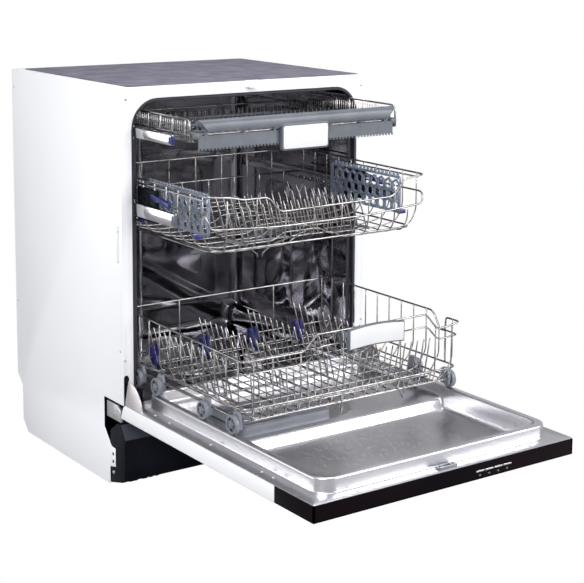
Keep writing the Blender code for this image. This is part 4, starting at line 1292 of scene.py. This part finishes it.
def lower_wires(bm):
    half = 0.2545
    floor = BASKET_FLOOR
    rim = BASKET_RIM
    front = BASKET_FRONT
    back = BASKET_BACK
    count = 11
    for number in range(count):
        y = front + 0.018 + number * (back - front - 0.036) / (count - 1)
        lift = floor + 0.0042
        high_left = rim - 0.008 * (1 - (y - front) / (back - front))
        high_right = rim
        if y < front + 0.041:
            high_right = rim - 0.006
        elif y < front + 0.065:
            high_right = rim - 0.034
        path = [
            (-half, y, high_left), (-half, y, floor + 0.042), (-half + 0.020, y, floor + 0.012),
            (-half + 0.040, y, lift), (half - 0.040, y, lift), (half - 0.020, y, floor + 0.012),
            (half, y, floor + 0.042), (half, y, high_right),
        ]
        wire(bm, path, WIRE, 0.010)
    fronts = (-0.232, -0.190, -0.128, -0.030, 0.108, 0.196, 0.238)
    for x in fronts:
        top_z = rim - 0.008
        if -0.095 < x < 0.18:
            top_z = rim + 0.019
        path = [
            (x, front + 0.001, top_z), (x, front + 0.002, floor + 0.020), (x, front + 0.014, floor),
            (x, back - 0.014, floor), (x, back - 0.002, floor + 0.020), (x, back - 0.001, rim),
        ]
        if x in (-0.190, 0.196, -0.030):
            path = path[:4]
        wire(bm, path, WIRE, 0.010)
    for number in range(17):
        x = -0.212 + number * 0.0265
        path = [
            (x, front + 0.0005, floor + 0.034), (x, front + 0.003, floor + 0.018),
            (x, front + 0.016, floor), (x, back - 0.014, floor), (x, back - 0.002, floor + 0.022),
            (x, back - 0.001, floor + 0.034),
        ]
        wire(bm, path, WIRE, 0.010)
    for x in (-0.035, 0.115):
        path = [
            (x, front - 0.001, floor + 0.026), (x, front - 0.002, floor - 0.012),
            (x + 0.012, front + 0.02, floor - 0.012), (x + 0.012, front + 0.03, floor),
        ]
        wire(bm, path, WIRE, 0.008)
    for y in (front + 0.075, back - 0.09):
        wire(bm, [(-half + 0.03, y, floor + 0.0018), (half - 0.03, y, floor + 0.0018)], RIM_WIRE, 0.01)


def tine(bm, base, lean, height, radius=WIRE * 1.15):
    x, y, z = base
    path = [
        (x, y, z), (x + lean[0] * 0.3, y + lean[1] * 0.3, z + height * 0.35),
        (x + lean[0], y + lean[1], z + height),
    ]
    sweep(bm, bent(path, 0.02, 3), radius, 7)


def tine_row(bm, x, first, count, pitch, z, lean, height):
    for number in range(count):
        tine(bm, (x, first + number * pitch, z), lean, height)
    sweep(bm, [(x, first - 0.012, z), (x, first + (count - 1) * pitch + 0.014, z)], RIM_WIRE * 0.9, 8)


def clip(bm, x, y, z):
    """A two-part pivot clip that holds the end of a tine row."""
    block(bm, (x - 0.0125, y - 0.005, z + 0.012), (x - 0.0005, y + 0.006, z + 0.036), 0.0025, 3)
    block(bm, (x - 0.0045, y - 0.007, z - 0.006), (x + 0.0085, y + 0.007, z + 0.014), 0.002, 3)
    block(bm, (x + 0.0020, y - 0.004, z + 0.006), (x + 0.0125, y + 0.005, z + 0.038), 0.003, 3)
    block(bm, (x + 0.0060, y - 0.003, z - 0.016), (x + 0.0120, y + 0.003, z + 0.008), 0.0015, 2)
    lathe(
        bm, [(0, 0.0100), (0.0045, 0.0095), (0.0052, 0.0070), (0.0052, -0.0070), (0, -0.0075)],
        (x, y, z + 0.004), "Y", 18,
    )


def lower_basket():
    bm = bmesh.new()
    lower_rims(bm)
    lower_wires(bm)
    z = BASKET_FLOOR + 0.0088
    for x in (-0.200, 0.158):
        tine_row(bm, x, BASKET_FRONT + 0.125, 14, 0.0215, z, (-0.020, 0.004), 0.085)
    for number in range(27):
        x = -0.205 + number * 0.0158
        lean = 0.010 if x > -0.030 else -0.008
        tine(bm, (x, BASKET_FRONT + 0.045, z - 0.003), (lean, -0.004), 0.078)
    sweep(
        bm, [(-0.215, BASKET_FRONT + 0.045, z - 0.003), (0.215, BASKET_FRONT + 0.045, z - 0.003)],
        RIM_WIRE * 0.9, 8,
    )
    piece("lower_basket_wires", bm, CHROME, "lower_basket", ["lower_basket"], 60)
    for label, x in (("left", LEFT_ROW), ("right", RIGHT_ROW)):
        row = bmesh.new()
        tine_row(row, x, BASKET_FRONT + 0.125, 14, 0.0215, z, (-0.020, 0.004), 0.085)
        piece("folding_tines_" + label, row, CHROME, "tines_" + label, ["tine_row_" + label], 60)
    clips = bmesh.new()
    for x in (-0.200, LEFT_ROW, RIGHT_ROW, 0.158):
        clip(clips, x, BASKET_BACK - 0.024, z + 0.004)
    piece("tine_clips", clips, BLUE, "lower_basket")


def wheel_bracket(bm, side, y):
    x = side * WHEEL_X
    inner = side * 0.2495
    left, right = sorted((inner - side * 0.004, x - side * 0.0062))
    outline = [
        (y - 0.012, WHEEL_Z - 0.010), (y + 0.012, WHEEL_Z - 0.010), (y + 0.014, WHEEL_Z + 0.006),
        (y + 0.007, WHEEL_Z + 0.024), (y - 0.007, WHEEL_Z + 0.024), (y - 0.014, WHEEL_Z + 0.006),
    ]
    plate(bm, outline, "X", left, right, 0.0015, 3)
    turn = 1 if side > 0 else -1
    axle = [(0, 0.0070), (0.0034, 0.0068), (0.0040, 0.0058), (0.0040, -0.0075), (0, -0.0075)]
    lathe(bm, [(r, h * turn) for r, h in axle], (x, y, WHEEL_Z), "X", 20)


def wheel(bm, side, y):
    """A wheel with a rolled tread, a rim and five spokes."""
    turn = 1 if side > 0 else -1
    centre = (side * WHEEL_X, y, WHEEL_Z)
    tread = [
        (0.0140, 0.0046), (0.0168, 0.0046), (0.0178, 0.0036), (0.0180, 0.0), (0.0178, -0.0036),
        (0.0168, -0.0048), (0.0140, -0.0048), (0.0134, -0.004), (0.0134, 0.004), (0.0140, 0.0046),
    ]
    lathe(bm, [(r, h * turn) for r, h in tread], centre, "X", 36)
    hub = [
        (0.0043, 0.0050), (0.0062, 0.0050), (0.0068, 0.0044), (0.0068, -0.0046), (0.0043, -0.0046),
        (0.0043, 0.0050),
    ]
    lathe(bm, [(r, h * turn) for r, h in hub], centre, "X", 24)
    for number in range(5):
        angle = 2 * math.pi * number / 5 + 0.3
        part = bmesh.new()
        block(part, (-0.0036, 0.0062, -0.0013), (0.0036, 0.0138, 0.0013), 0.0004, 1)
        matrix = Matrix.Translation(Vector(centre)) @ Matrix.Rotation(angle, 4, "X")
        bmesh.ops.transform(part, matrix=matrix, verts=part.verts)
        merge(bm, part)


def basket_wheels():
    places = {"front": BASKET_FRONT + 0.030, "rear": BASKET_BACK - 0.058}
    brackets = bmesh.new()
    inner = bmesh.new()
    for side, hand in sides():
        for label, y in places.items():
            wheel_bracket(brackets, side, y)
            bm = bmesh.new()
            wheel(bm, side, y)
            name = f"{label}_wheel_{hand}"
            piece(name + "_tread", bm, PALE, name, [name])
        for y in (BASKET_FRONT + 0.133, BASKET_BACK - 0.135):
            wheel_bracket(brackets, side, y)
            wheel(inner, side, y)
    # Black discs behind the spokes of the pale wheels: painted shade for the dark wheel centres.
    shades = bmesh.new()
    for side, hand in sides():
        for y in (*places.values(), BASKET_FRONT + 0.133, BASKET_BACK - 0.135):
            disc = [(0, 0.0010), (0.0132, 0.0010), (0.0132, -0.0010), (0, -0.0010)]
            lathe(shades, disc, (side * (WHEEL_X - 0.0030), y, WHEEL_Z), "X", 28)
    piece("wheel_painted_shade", shades, BLACK, "lower_basket")
    piece("wheel_brackets", brackets, PALE, "lower_basket")
    piece("inner_wheels", inner, PALE, "lower_basket")


def lower_handle():
    y = BASKET_FRONT - 0.0027
    low = BASKET_RIM - 0.0195
    bm = bmesh.new()

    def outline(inset):
        points = []
        count = 12
        for step in range(count + 1):
            t = step / count
            x = -0.0265 + inset + (0.134 - 2 * inset) * t
            points.append((x, low + inset - 0.001 + 0.0035 * math.sin(math.pi * t)))
        for step in range(count + 1):
            t = 1 - step / count
            x = -0.0265 + inset + (0.134 - 2 * inset) * t
            points.append((x, low + 0.040 - inset + 0.0045 * math.sin(math.pi * t)))
        return points

    plate(bm, outline(0), "Y", y - 0.0085, y - 0.0004, 0.0016, 3)
    piece("lower_handle_frame", bm, GREY, "lower_basket", ["basket_handle"])
    face = bmesh.new()
    plate(face, outline(0.0028), "Y", y - 0.0096, y - 0.0075, 0.0008, 3)
    piece("lower_handle_plate", face, WHITE, "lower_basket")


lower_basket()
basket_wheels()
lower_handle()

# %% [markdown]
# ## Upper rack
# Twin side rims, a dipped front, a raised floor with leaning tines, comb shelves with a honeycomb
# pattern, blue height levers, the spray arm below, and the telescopic rails.

# %%
RACK_FRONT = FRONT + 0.015 - RACK_OUT
RACK_BACK = RACK_FRONT + RACK_DEPTH
RACK_RIM = 0.637
RACK_FLOOR = 0.522
RACK_HALF = 0.2565
LEFT_TINES = -0.139
RIGHT_TINES = 0.157
RAIL_OUTER = TUB_IN - 0.004 - 0.0006
RAIL_INNER = RAIL_OUTER - 0.008


def upper_rims(bm):
    half = RACK_HALF
    front = RACK_FRONT
    back = RACK_BACK
    path = [
        (-half, back, RACK_RIM),
        (-half, front + 0.10, RACK_RIM),
        (-half, front, RACK_RIM - 0.0014),
        (-0.205, front, RACK_RIM - 0.006),
        (-0.180, front, RACK_RIM - 0.0125),
        (-0.122, front, RACK_RIM - 0.0125),
        (-0.097, front, RACK_RIM - 0.043),
        (0.178, front, RACK_RIM - 0.039),
        (0.204, front, RACK_RIM - 0.0065),
        (half, front, RACK_RIM - 0.001),
        (half, back, RACK_RIM),
    ]
    wire(bm, path, RIM_WIRE, 0.012, True)
    wire(
        bm,
        [
            (-half, back - 0.002, 0.600), (-half, front + 0.004, 0.600),
            (-half + 0.003, front - 0.0005, 0.575), (-0.10, front - 0.001, 0.566),
            (0.12, front - 0.001, 0.567), (half - 0.003, front - 0.0005, 0.577),
            (half, front + 0.004, 0.600), (half, back - 0.002, 0.600),
        ],
        RIM_WIRE, 0.02,
    )
    for side in (-1, 1):
        wire(
            bm,
            [(side * half, front + 0.02, RACK_RIM - 0.009), (side * half, back, RACK_RIM - 0.009)],
            RIM_WIRE * 0.9, 0.01,
        )
    loop = [
        (-half + 0.016, back - 0.014, RACK_FLOOR + 0.006),
        (-half + 0.016, front + 0.016, RACK_FLOOR + 0.006),
        (half - 0.016, front + 0.016, RACK_FLOOR + 0.006),
        (half - 0.016, back - 0.014, RACK_FLOOR + 0.006),
    ]
    wire(bm, loop, RIM_WIRE, 0.03, True)
    wire(bm, [(-half, back, 0.585), (half, back, 0.585)], RIM_WIRE, 0.01)


def upper_wires(bm):
    half = RACK_HALF - 0.0015
    front = RACK_FRONT
    back = RACK_BACK
    count = 10
    for number in range(count):
        y = front + 0.022 + number * (back - front - 0.044) / (count - 1)
        high = RACK_RIM - 0.001
        path = [
            (-half, y, high),
            (-half, y, 0.560),
            (-half + 0.016, y, 0.532),
            (-half + 0.060, y, RACK_FLOOR + 0.002),
            (-0.065, y, RACK_FLOOR + 0.002),
            (-0.045, y, RACK_FLOOR + 0.016),
            (0.045, y, RACK_FLOOR + 0.016),
            (0.065, y, RACK_FLOOR + 0.002),
            (half - 0.060, y, RACK_FLOOR + 0.002),
            (half - 0.016, y, 0.532),
            (half, y, 0.560),
            (half, y, high),
        ]
        wire(bm, path, WIRE, 0.012)
    for number in range(14):
        x = -0.215 + number * 0.0331
        rise = 0.0145 if abs(x) < 0.05 else 0.0
        floor = RACK_FLOOR - 0.0008 + rise
        top_front = RACK_RIM - 0.012
        if -0.100 < x < 0.180:
            top_front = RACK_RIM - 0.041
        if number % 2:
            top_front = 0.567
        path = [
            (x, front, top_front), (x, front + 0.002, 0.545), (x, front + 0.020, floor),
            (x, back - 0.016, floor), (x, back - 0.001, 0.545),
            (x, back - 0.001, 0.586 if number % 2 else RACK_RIM),
        ]
        wire(bm, path, WIRE, 0.014)
    for side in (-1, 1):
        path = [
            (-0.048 + side * 0.095, FRONT - 0.135, RACK_FLOOR),
            (-0.048 + side * 0.030, FRONT - 0.115, 0.500),
            (-0.048 + side * 0.006, FRONT - 0.11, 0.482),
            (-0.048 + side * 0.006, FRONT - 0.11, 0.476),
        ]
        wire(bm, path, WIRE, 0.01)
    for row, lean in ((0.075, -0.014), (0.165, -0.014)):
        for number in range(17):
            x = -0.118 + number * 0.0165
            tine(bm, (x, front + row, RACK_FLOOR + 0.004), (lean, 0.006), 0.070)
        sweep(
            bm,
            [(-0.13, front + row, RACK_FLOOR + 0.004), (0.160, front + row, RACK_FLOOR + 0.004)],
            RIM_WIRE * 0.9, 8,
        )
    for number in range(9):
        y = front + 0.06 + number * 0.032
        tine(bm, (LEFT_TINES, y, RACK_FLOOR + 0.004), (-0.016, 0.004), 0.066)
        tine(bm, (RIGHT_TINES, y, RACK_FLOOR + 0.004), (-0.016, 0.004), 0.060)
    for x in (LEFT_TINES, RIGHT_TINES):
        sweep(
            bm, [(x, front + 0.05, RACK_FLOOR + 0.004), (x, front + 0.33, RACK_FLOOR + 0.004)],
            RIM_WIRE * 0.9, 8,
        )


def honeycomb(bm, x, low_y, high_y, low_z, high_z, depth):
    """A shelf of six-sided rings in a rounded frame, with pegs along its top edge."""
    cell = 0.0135
    rows = max(2, int((high_z - low_z - 0.010) / (cell * 1.55)))
    columns = int((high_y - low_y - 0.010) / (cell * 1.80))
    left, right = sorted((x, x + depth))
    for row in range(rows):
        for column in range(columns):
            y = low_y + 0.014 + column * cell * 1.80 + (row % 2) * cell * 0.9
            z = low_z + 0.013 + row * cell * 1.56
            if y > high_y - 0.012:
                continue
            outer = [
                (y + cell * 1.06 * math.sin(a), z + cell * 1.06 * math.cos(a))
                for a in [k * math.pi / 3 for k in range(6)]
            ]
            inner = [
                (y + cell * 0.74 * math.sin(a), z + cell * 0.74 * math.cos(a))
                for a in [k * math.pi / 3 for k in range(6)]
            ]
            framed(bm, outer, inner, "X", left, right)
    outer = rounded(low_y, low_z, high_y, high_z - 0.006, 0.006, 4)
    inner = rounded(low_y + 0.0045, low_z + 0.0045, high_y - 0.0045, high_z - 0.0105, 0.004, 4)
    framed(bm, outer, inner, "X", left - 0.0004, right + 0.0004)
    count = int((high_y - low_y) / 0.0125)
    for number in range(count):
        y = low_y + 0.008 + number * 0.0125
        block(
            bm, (left - 0.0002, y - 0.0026, high_z - 0.010), (right + 0.0002, y + 0.0026, high_z),
            0.0009, 2,
        )


def shelves():
    for side, label in sides():
        bm = bmesh.new()
        x = side * (RACK_HALF - 0.026)
        honeycomb(
            bm, x, RACK_FRONT + 0.042, RACK_FRONT + 0.278, RACK_FLOOR + 0.030, RACK_RIM - 0.003,
            -side * 0.004,
        )
        piece("comb_shelf_" + label, bm, CLEAR, "shelf_" + label, ["cup_shelf_" + label], 40)
        arms = bmesh.new()
        for y in (RACK_FRONT + 0.055, RACK_FRONT + 0.265):
            x0 = side * (RACK_HALF - 0.004)
            left, right = sorted((x0, x + side * 0.0038))
            block(
                arms, (left, y - 0.004, RACK_FLOOR + 0.026), (right, y + 0.004, RACK_FLOOR + 0.034),
                0.0015,
            )
        piece("shelf_arms_" + label, arms, BLUE, "upper_rack")


def levers():
    for side, label in sides():
        bm = bmesh.new()
        left, right = span(side, RACK_HALF + 0.0029, RAIL_INNER - 0.0006)
        y = FRONT - 0.050
        outline = [
            (y - 0.066, 0.595), (y - 0.064, 0.604), (y - 0.040, 0.6085), (y - 0.002, 0.614),
            (y + 0.004, 0.610), (y + 0.003, 0.604), (y - 0.030, 0.600), (y - 0.058, 0.5945),
        ]
        plate(bm, outline, "X", left, right, 0.0008, 2)
        inner_left, inner_right = span(side, RACK_HALF - 0.004, RACK_HALF + 0.0032)
        grip = [
            (y - 0.066, 0.596), (y - 0.062, 0.606), (y - 0.034, 0.610), (y - 0.030, 0.602),
            (y - 0.056, 0.596),
        ]
        plate(bm, grip, "X", inner_left, inner_right, 0.0012, 2)
        piece("height_grip_" + label, bm, BLUE, "lever_" + label, ["height_lever_" + label])
        house = bmesh.new()
        left, right = span(side, RACK_HALF - 0.008, RACK_HALF + 0.0018)
        block(house, (left, y - 0.012, 0.556), (right, y + 0.062, 0.622), 0.004, 3)
        lathe(
            house,
            [
                (0.004, 0.0055), (0.012, 0.0055), (0.014, 0.004), (0.014, -0.0055),
                (0.004, -0.0055), (0.004, 0.0055),
            ],
            (side * (RACK_HALF - 0.002), y + 0.026, 0.600), "X", 28,
        )
        piece("height_housing_" + label, house, BLACK, "upper_rack")


def rails():
    for name, body, low, high, out, track_node in (
        ("rack", "rack_rails", 0.565, 0.590, 0.150, "rack_track"),
        ("tray", "tray_rails", 0.720, 0.739, 0.1406, "tray_track"),
    ):
        for side, label in sides():
            bm = bmesh.new()
            front = FRONT - out
            lip = 0.0035
            outer = side * RAIL_OUTER
            inner = side * RAIL_INNER
            outline = [
                (outer, low),
                (inner, low),
                (inner, low + lip),
                (outer - side * 0.0016, low + lip),
                (outer - side * 0.0016, high - lip),
                (inner, high - lip),
                (inner, high),
                (outer, high),
            ]
            plate(bm, outline, "Y", front, front + 0.400, 0.0006, 2)
            count = 14
            for number in range(count):
                y = front + 0.03 + number * 0.025
                for z in (low + lip + 0.0022, high - lip - 0.0022):
                    lathe(
                        bm,
                        [(0, 0.002), (0.0014, 0.0014), (0.002, 0), (0.0014, -0.0014), (0, -0.002)],
                        (outer - side * 0.0036, y, z), "Z", 10,
                    )
            left, right = sorted((outer - side * 0.0018, inner + side * 0.0015))
            block(
                bm, (left, front + 0.004, low + lip + 0.0046),
                (right, front + 0.396, high - lip - 0.0046), 0.0008,
            )
            piece(f"{name}_slide_{label}", bm, RAIL, body, [f"{name}_rail_{label}"])
            stop = bmesh.new()
            left, right = sorted((outer, inner))
            block(stop, (left, front - 0.004, low + 0.001), (right, front + 0.010, high - 0.001), 0.0022, 3)
            piece(
                f"{name}_slide_stop_{label}", stop, GREY if name == "rack" else BLUE, body,
            )
            track = bmesh.new()
            left, right = span(side, RAIL_OUTER + 0.0004, TUB_IN - 0.0004)
            outline = [
                (left, low + 0.001), (right, low + 0.001), (right, high - 0.001),
                (left, high - 0.001),
            ]
            plate(track, outline, "Y", TUB_FRONT + 0.008, TUB_BACK - 0.030, 0.0008, 2)
            for y in (TUB_FRONT + 0.03, TUB_BACK - 0.06):
                x = side * RAIL_OUTER
                screw_head(track, (x, y, (low + high) / 2), "X", 0.0026, -side)
            piece(f"{name}_channel_{label}", track, RAIL, "cabinet", [f"{track_node}_{label}"])


bm = bmesh.new()
upper_rims(bm)
upper_wires(bm)
piece("upper_rack_wires", bm, CHROME, "upper_rack", ["upper_rack"], 60)
shelves()
levers()
rails()
RACK_MIDDLE = RACK_FRONT + RACK_DEPTH / 2
spray_arm(
    "middle_arm_blades", "middle_arm", "middle_spray_arm", (0, RACK_MIDDLE, 0.5), 0.213, 0.030,
    0.009, math.radians(19), GREY,
)
manifold = bmesh.new()
lathe(
    manifold, [(0, 0.016), (0.012, 0.015), (0.014, 0.010), (0.014, 0.0), (0, 0.0)],
    (0, RACK_MIDDLE, 0.5095), "Z", 28,
)
sweep(
    manifold,
    bent([(0, RACK_MIDDLE, 0.520), (0, RACK_BACK - 0.03, 0.520), (0, RACK_BACK - 0.001, 0.520)], 0.01),
    0.006, 16,
)
piece("rack_water_pipe", manifold, GREY, "upper_rack")

# %% [markdown]
# ## Cutlery tray
# A shallow tray: fine upright comb bars down both sides, a wire floor, plastic combs across, and the
# grey front bar with its toothed skirt and white plate.

# %%
TRAY_FRONT = FRONT + 0.015 - TRAY_OUT + 0.008
TRAY_BACK = TRAY_FRONT + TRAY_DEPTH
TRAY_RIM = 0.7695
TRAY_FLOOR = 0.728
TRAY_HALF = 0.245


def tray_wires():
    bm = bmesh.new()
    half = TRAY_HALF
    for z, inset in ((0.7405, 0.001), (TRAY_FLOOR, 0.003)):
        loop = [
            (-half + inset, TRAY_BACK - inset, z), (-half + inset, TRAY_FRONT + inset, z),
            (half - inset, TRAY_FRONT + inset, z), (half - inset, TRAY_BACK - inset, z),
        ]
        wire(bm, loop, RIM_WIRE, 0.014, True)
    front = TRAY_FRONT + 0.003
    rim = [
        (-half, front, TRAY_FLOOR), (-half, front, TRAY_RIM), (-half, TRAY_BACK, TRAY_RIM),
        (half, TRAY_BACK, TRAY_RIM), (half, front, TRAY_RIM), (half, front, TRAY_FLOOR),
    ]
    wire(bm, rim, RIM_WIRE, 0.014)
    for side in (-1, 1):
        for number in range(52):
            y = TRAY_FRONT + 0.012 + number * 0.0076
            x = side * (half - 0.0060)
            sweep(bm, [(x, y, TRAY_FLOOR), (x, y, TRAY_RIM - 0.0050)], 0.0009, 6)
    for number in range(26):
        x = -0.225 + number * 0.018
        wire(
            bm, [(x, TRAY_FRONT + 0.003, TRAY_FLOOR), (x, TRAY_BACK - 0.003, TRAY_FLOOR)],
            WIRE * 0.9, 0.01, sides=6,
        )
    for number in range(9):
        y = TRAY_FRONT + 0.02 + number * 0.0465
        wire(
            bm,
            [
                (-half, y, TRAY_RIM), (-half, y, TRAY_FLOOR + 0.004),
                (-half + 0.008, y, TRAY_FLOOR - 0.0022), (half - 0.008, y, TRAY_FLOOR - 0.0022),
                (half, y, TRAY_FLOOR + 0.004), (half, y, TRAY_RIM),
            ],
            WIRE, 0.006,
        )
    piece("cutlery_tray_wires", bm, CHROME, "cutlery_tray", ["cutlery_tray"], 60)
    combs = bmesh.new()
    for side in (-1, 1):
        left, right = span(side, half - 0.0085, half - 0.0035)
        block(
            combs, (left, TRAY_FRONT + 0.006, TRAY_FLOOR - 0.002),
            (right, TRAY_BACK - 0.006, TRAY_FLOOR + 0.0020), 0.0012,
        )
    for y in (TRAY_FRONT + 0.10, TRAY_FRONT + 0.20, TRAY_FRONT + 0.30):
        block(
            combs, (-half + 0.010, y - 0.002, TRAY_FLOOR + 0.001),
            (half - 0.010, y + 0.002, TRAY_FLOOR + 0.006), 0.001,
        )
        for number in range(42):
            x = -half + 0.018 + number * 0.0112
            block(
                combs, (x - 0.0009, y - 0.0012, TRAY_FLOOR + 0.004),
                (x + 0.0009, y + 0.0012, TRAY_FLOOR + 0.019), 0,
            )
    piece("cutlery_combs", combs, GREY, "cutlery_tray")


def tray_bar():
    front = FRONT + 0.015 - TRAY_OUT
    low = TRAY_RIM - 0.0235
    bm = bmesh.new()
    section = [
        (front - 0.0052, low),
        (front - 0.0062, low + 0.003),
        (front - 0.0060, TRAY_RIM - 0.009),
        (front - 0.0035, TRAY_RIM - 0.003),
        (front + 0.0005, TRAY_RIM - 0.0002),
        (front + 0.0040, TRAY_RIM),
        (front + 0.0042, TRAY_RIM - 0.003),
        (front + 0.0010, TRAY_RIM - 0.006),
        (front - 0.0028, TRAY_RIM - 0.012),
        (front - 0.0028, low),
    ]
    rings = []
    for x, shrink, back in (
        (-0.2365, 0.30, 0.006), (-0.2350, 0.75, 0.003), (-0.2320, 1, 0.0004), (-0.20, 1, 0),
        (0.0, 1, 0), (0.20, 1, 0), (0.2320, 1, 0.0004), (0.2350, 0.75, 0.003),
        (0.2365, 0.30, 0.006),
    ):
        middle = (low + TRAY_RIM) / 2
        ring = []
        for u, v in section:
            slant = 0.018 * (TRAY_RIM - v) / (TRAY_RIM - low) if abs(x) > 0.21 else 0.0
            ring.append(
                bm.verts.new((x - math.copysign(slant, x), u + back, middle + (v - middle) * shrink))
            )
        rings.append(ring)
    skin(bm, rings)
    bm.faces.new(rings[0][::-1])
    bm.faces.new(rings[-1])
    plate(
        bm, rounded(-0.232, low - 0.032, 0.232, low - 0.0065, 0.002, 2), "Y", front + 0.0015,
        front + 0.0040, 0.0006, 1,
    )
    for x in (-0.215, -0.130, -0.060, 0.075, 0.150, 0.215):
        block(
            bm, (x - 0.003, front + 0.0010, low - 0.016), (x + 0.003, front + 0.0036, low + 0.003),
            0.0006, 1,
        )
    for number in range(60):
        x = -0.231 + number * 0.00783
        if -0.050 < x < 0.064:
            continue
        block(
            bm, (x - 0.0020, front + 0.0016, low - 0.0355),
            (x + 0.0020, front + 0.0036, low - 0.031), 0.0004, 1,
        )
    for side in (-1, 1):
        left, right = span(side, 0.226, 0.242)
        block(bm, (left, front + 0.001, low - 0.013), (right, front + 0.030, low - 0.002), 0.003, 3)
    plate_low = TRAY_RIM - 0.071
    outline = rounded(-0.049, plate_low, 0.0635, low + 0.006, 0.006, 5)
    plate(bm, outline, "Y", front - 0.0075, front + 0.0012, 0.0018, 3)
    piece("tray_front_bar", bm, GREY, "cutlery_tray", ["tray_handle"], 40)
    face = bmesh.new()
    plate(
        face, rounded(-0.0455, plate_low + 0.0035, 0.060, low + 0.0005, 0.004, 5), "Y",
        front - 0.0085, front - 0.0066, 0.0006, 3,
    )
    piece("tray_plate_face", face, WHITE, "cutlery_tray")


tray_wires()
tray_bar()

# %% [markdown]
# ## Floor, light and camera
# A pale floor and soft white studio light. The camera looks from the left and a little above.

# %%
floor_bm = bmesh.new()
bmesh.ops.create_grid(floor_bm, x_segments=2, y_segments=2, size=12)
floor_mesh = bpy.data.meshes.new("studio_floor")
floor_bm.to_mesh(floor_mesh)
floor_bm.free()
floor_obj = bpy.data.objects.new("studio_floor", floor_mesh)
floor_obj.location = (0, 0, -0.0005)
bpy.context.scene.collection.objects.link(floor_obj)
pale = material("studio_floor", (0.30, 0.30, 0.31), (0.32, 0.32, 0.33), (0.6, 0.7), 0, 40, bump=0.0)
tree = pale.node_tree
bright = tree.nodes.new("ShaderNodeEmission")
bright.inputs["Color"].default_value = (1.0, 1.0, 1.0, 1)
bright.inputs["Strength"].default_value = 1.0
ray = tree.nodes.new("ShaderNodeLightPath")
choice = tree.nodes.new("ShaderNodeMixShader")
link(tree, ray.outputs["Is Camera Ray"], choice.inputs["Fac"])
link(tree, tree.nodes["Principled BSDF"].outputs["BSDF"], choice.inputs[1])
link(tree, bright.outputs["Emission"], choice.inputs[2])
link(tree, choice.outputs["Shader"], tree.nodes["Material Output"].inputs["Surface"])
floor_mesh.materials.append(pale)

scene = bpy.context.scene
world = bpy.data.worlds.new("studio")
world.use_nodes = True
tree = world.node_tree
backdrop = tree.nodes["Background"]
backdrop.inputs["Color"].default_value = (1.0, 1.0, 1.0, 1)
backdrop.inputs["Strength"].default_value = 1.0
fill = tree.nodes.new("ShaderNodeBackground")
fill.inputs["Color"].default_value = (0.96, 0.97, 1.0, 1)
fill.inputs["Strength"].default_value = 0.5
path = tree.nodes.new("ShaderNodeLightPath")
mix = tree.nodes.new("ShaderNodeMixShader")
link(tree, path.outputs["Is Camera Ray"], mix.inputs["Fac"])
link(tree, fill.outputs["Background"], mix.inputs[1])
link(tree, backdrop.outputs["Background"], mix.inputs[2])
link(tree, mix.outputs["Shader"], tree.nodes["World Output"].inputs["Surface"])
scene.world = world


def lamp(name, energy, size, where, target, color=(1, 1, 1)):
    light = bpy.data.lights.new(name, "AREA")
    light.energy = energy
    light.shape = "RECTANGLE"
    light.size = size[0]
    light.size_y = size[1]
    light.color = color
    obj = bpy.data.objects.new(name, light)
    obj.location = where
    aim = Vector(target) - Vector(where)
    obj.rotation_euler = aim.to_track_quat("-Z", "Y").to_euler()
    scene.collection.objects.link(obj)


lamp("key_light", 55, (1.6, 1.6), (-1.9, -2.0, 2.2), (0, -0.2, 0.4))
lamp("front_light", 40, (1.4, 0.8), (1.6, -2.6, 1.6), (0, -0.3, 0.4))
lamp("side_light", 26, (2.2, 1.0), (-2.7, 0.9, 0.55), (0, -0.3, 0.35))
lamp("low_light", 22, (2.2, 1.0), (2.0, -3.0, 0.65), (0, -0.5, 0.25))
lamp("top_light", 30, (2.0, 1.4), (0.2, -0.6, 2.6), (0, -0.3, 0.4))

camera_data = bpy.data.cameras.new("camera")
camera_data.sensor_width = 36
camera_data.lens = 1482.61 / 584 * 36
camera_data.shift_x = -26.757 / 584
camera_data.shift_y = -132.557 / 584
camera = bpy.data.objects.new("camera", camera_data)
scene.collection.objects.link(camera)
scene.camera = camera
azimuth = math.radians(35.9125)
pitch = math.radians(8.388)
roll = 0.0088
forward = Vector(
    (math.sin(azimuth) * math.cos(pitch), math.cos(azimuth) * math.cos(pitch), -math.sin(pitch))
)
right = forward.cross(AXES["Z"]).normalized()
up = right.cross(forward)
right_rolled = math.cos(roll) * right + math.sin(roll) * up
up_rolled = -math.sin(roll) * right + math.cos(roll) * up
turn = Matrix((right_rolled, up_rolled, -forward)).transposed().to_4x4()
camera.matrix_world = Matrix.Translation((-1.6581, -2.7817, 1.103)) @ turn

scene.view_settings.view_transform = "Standard"
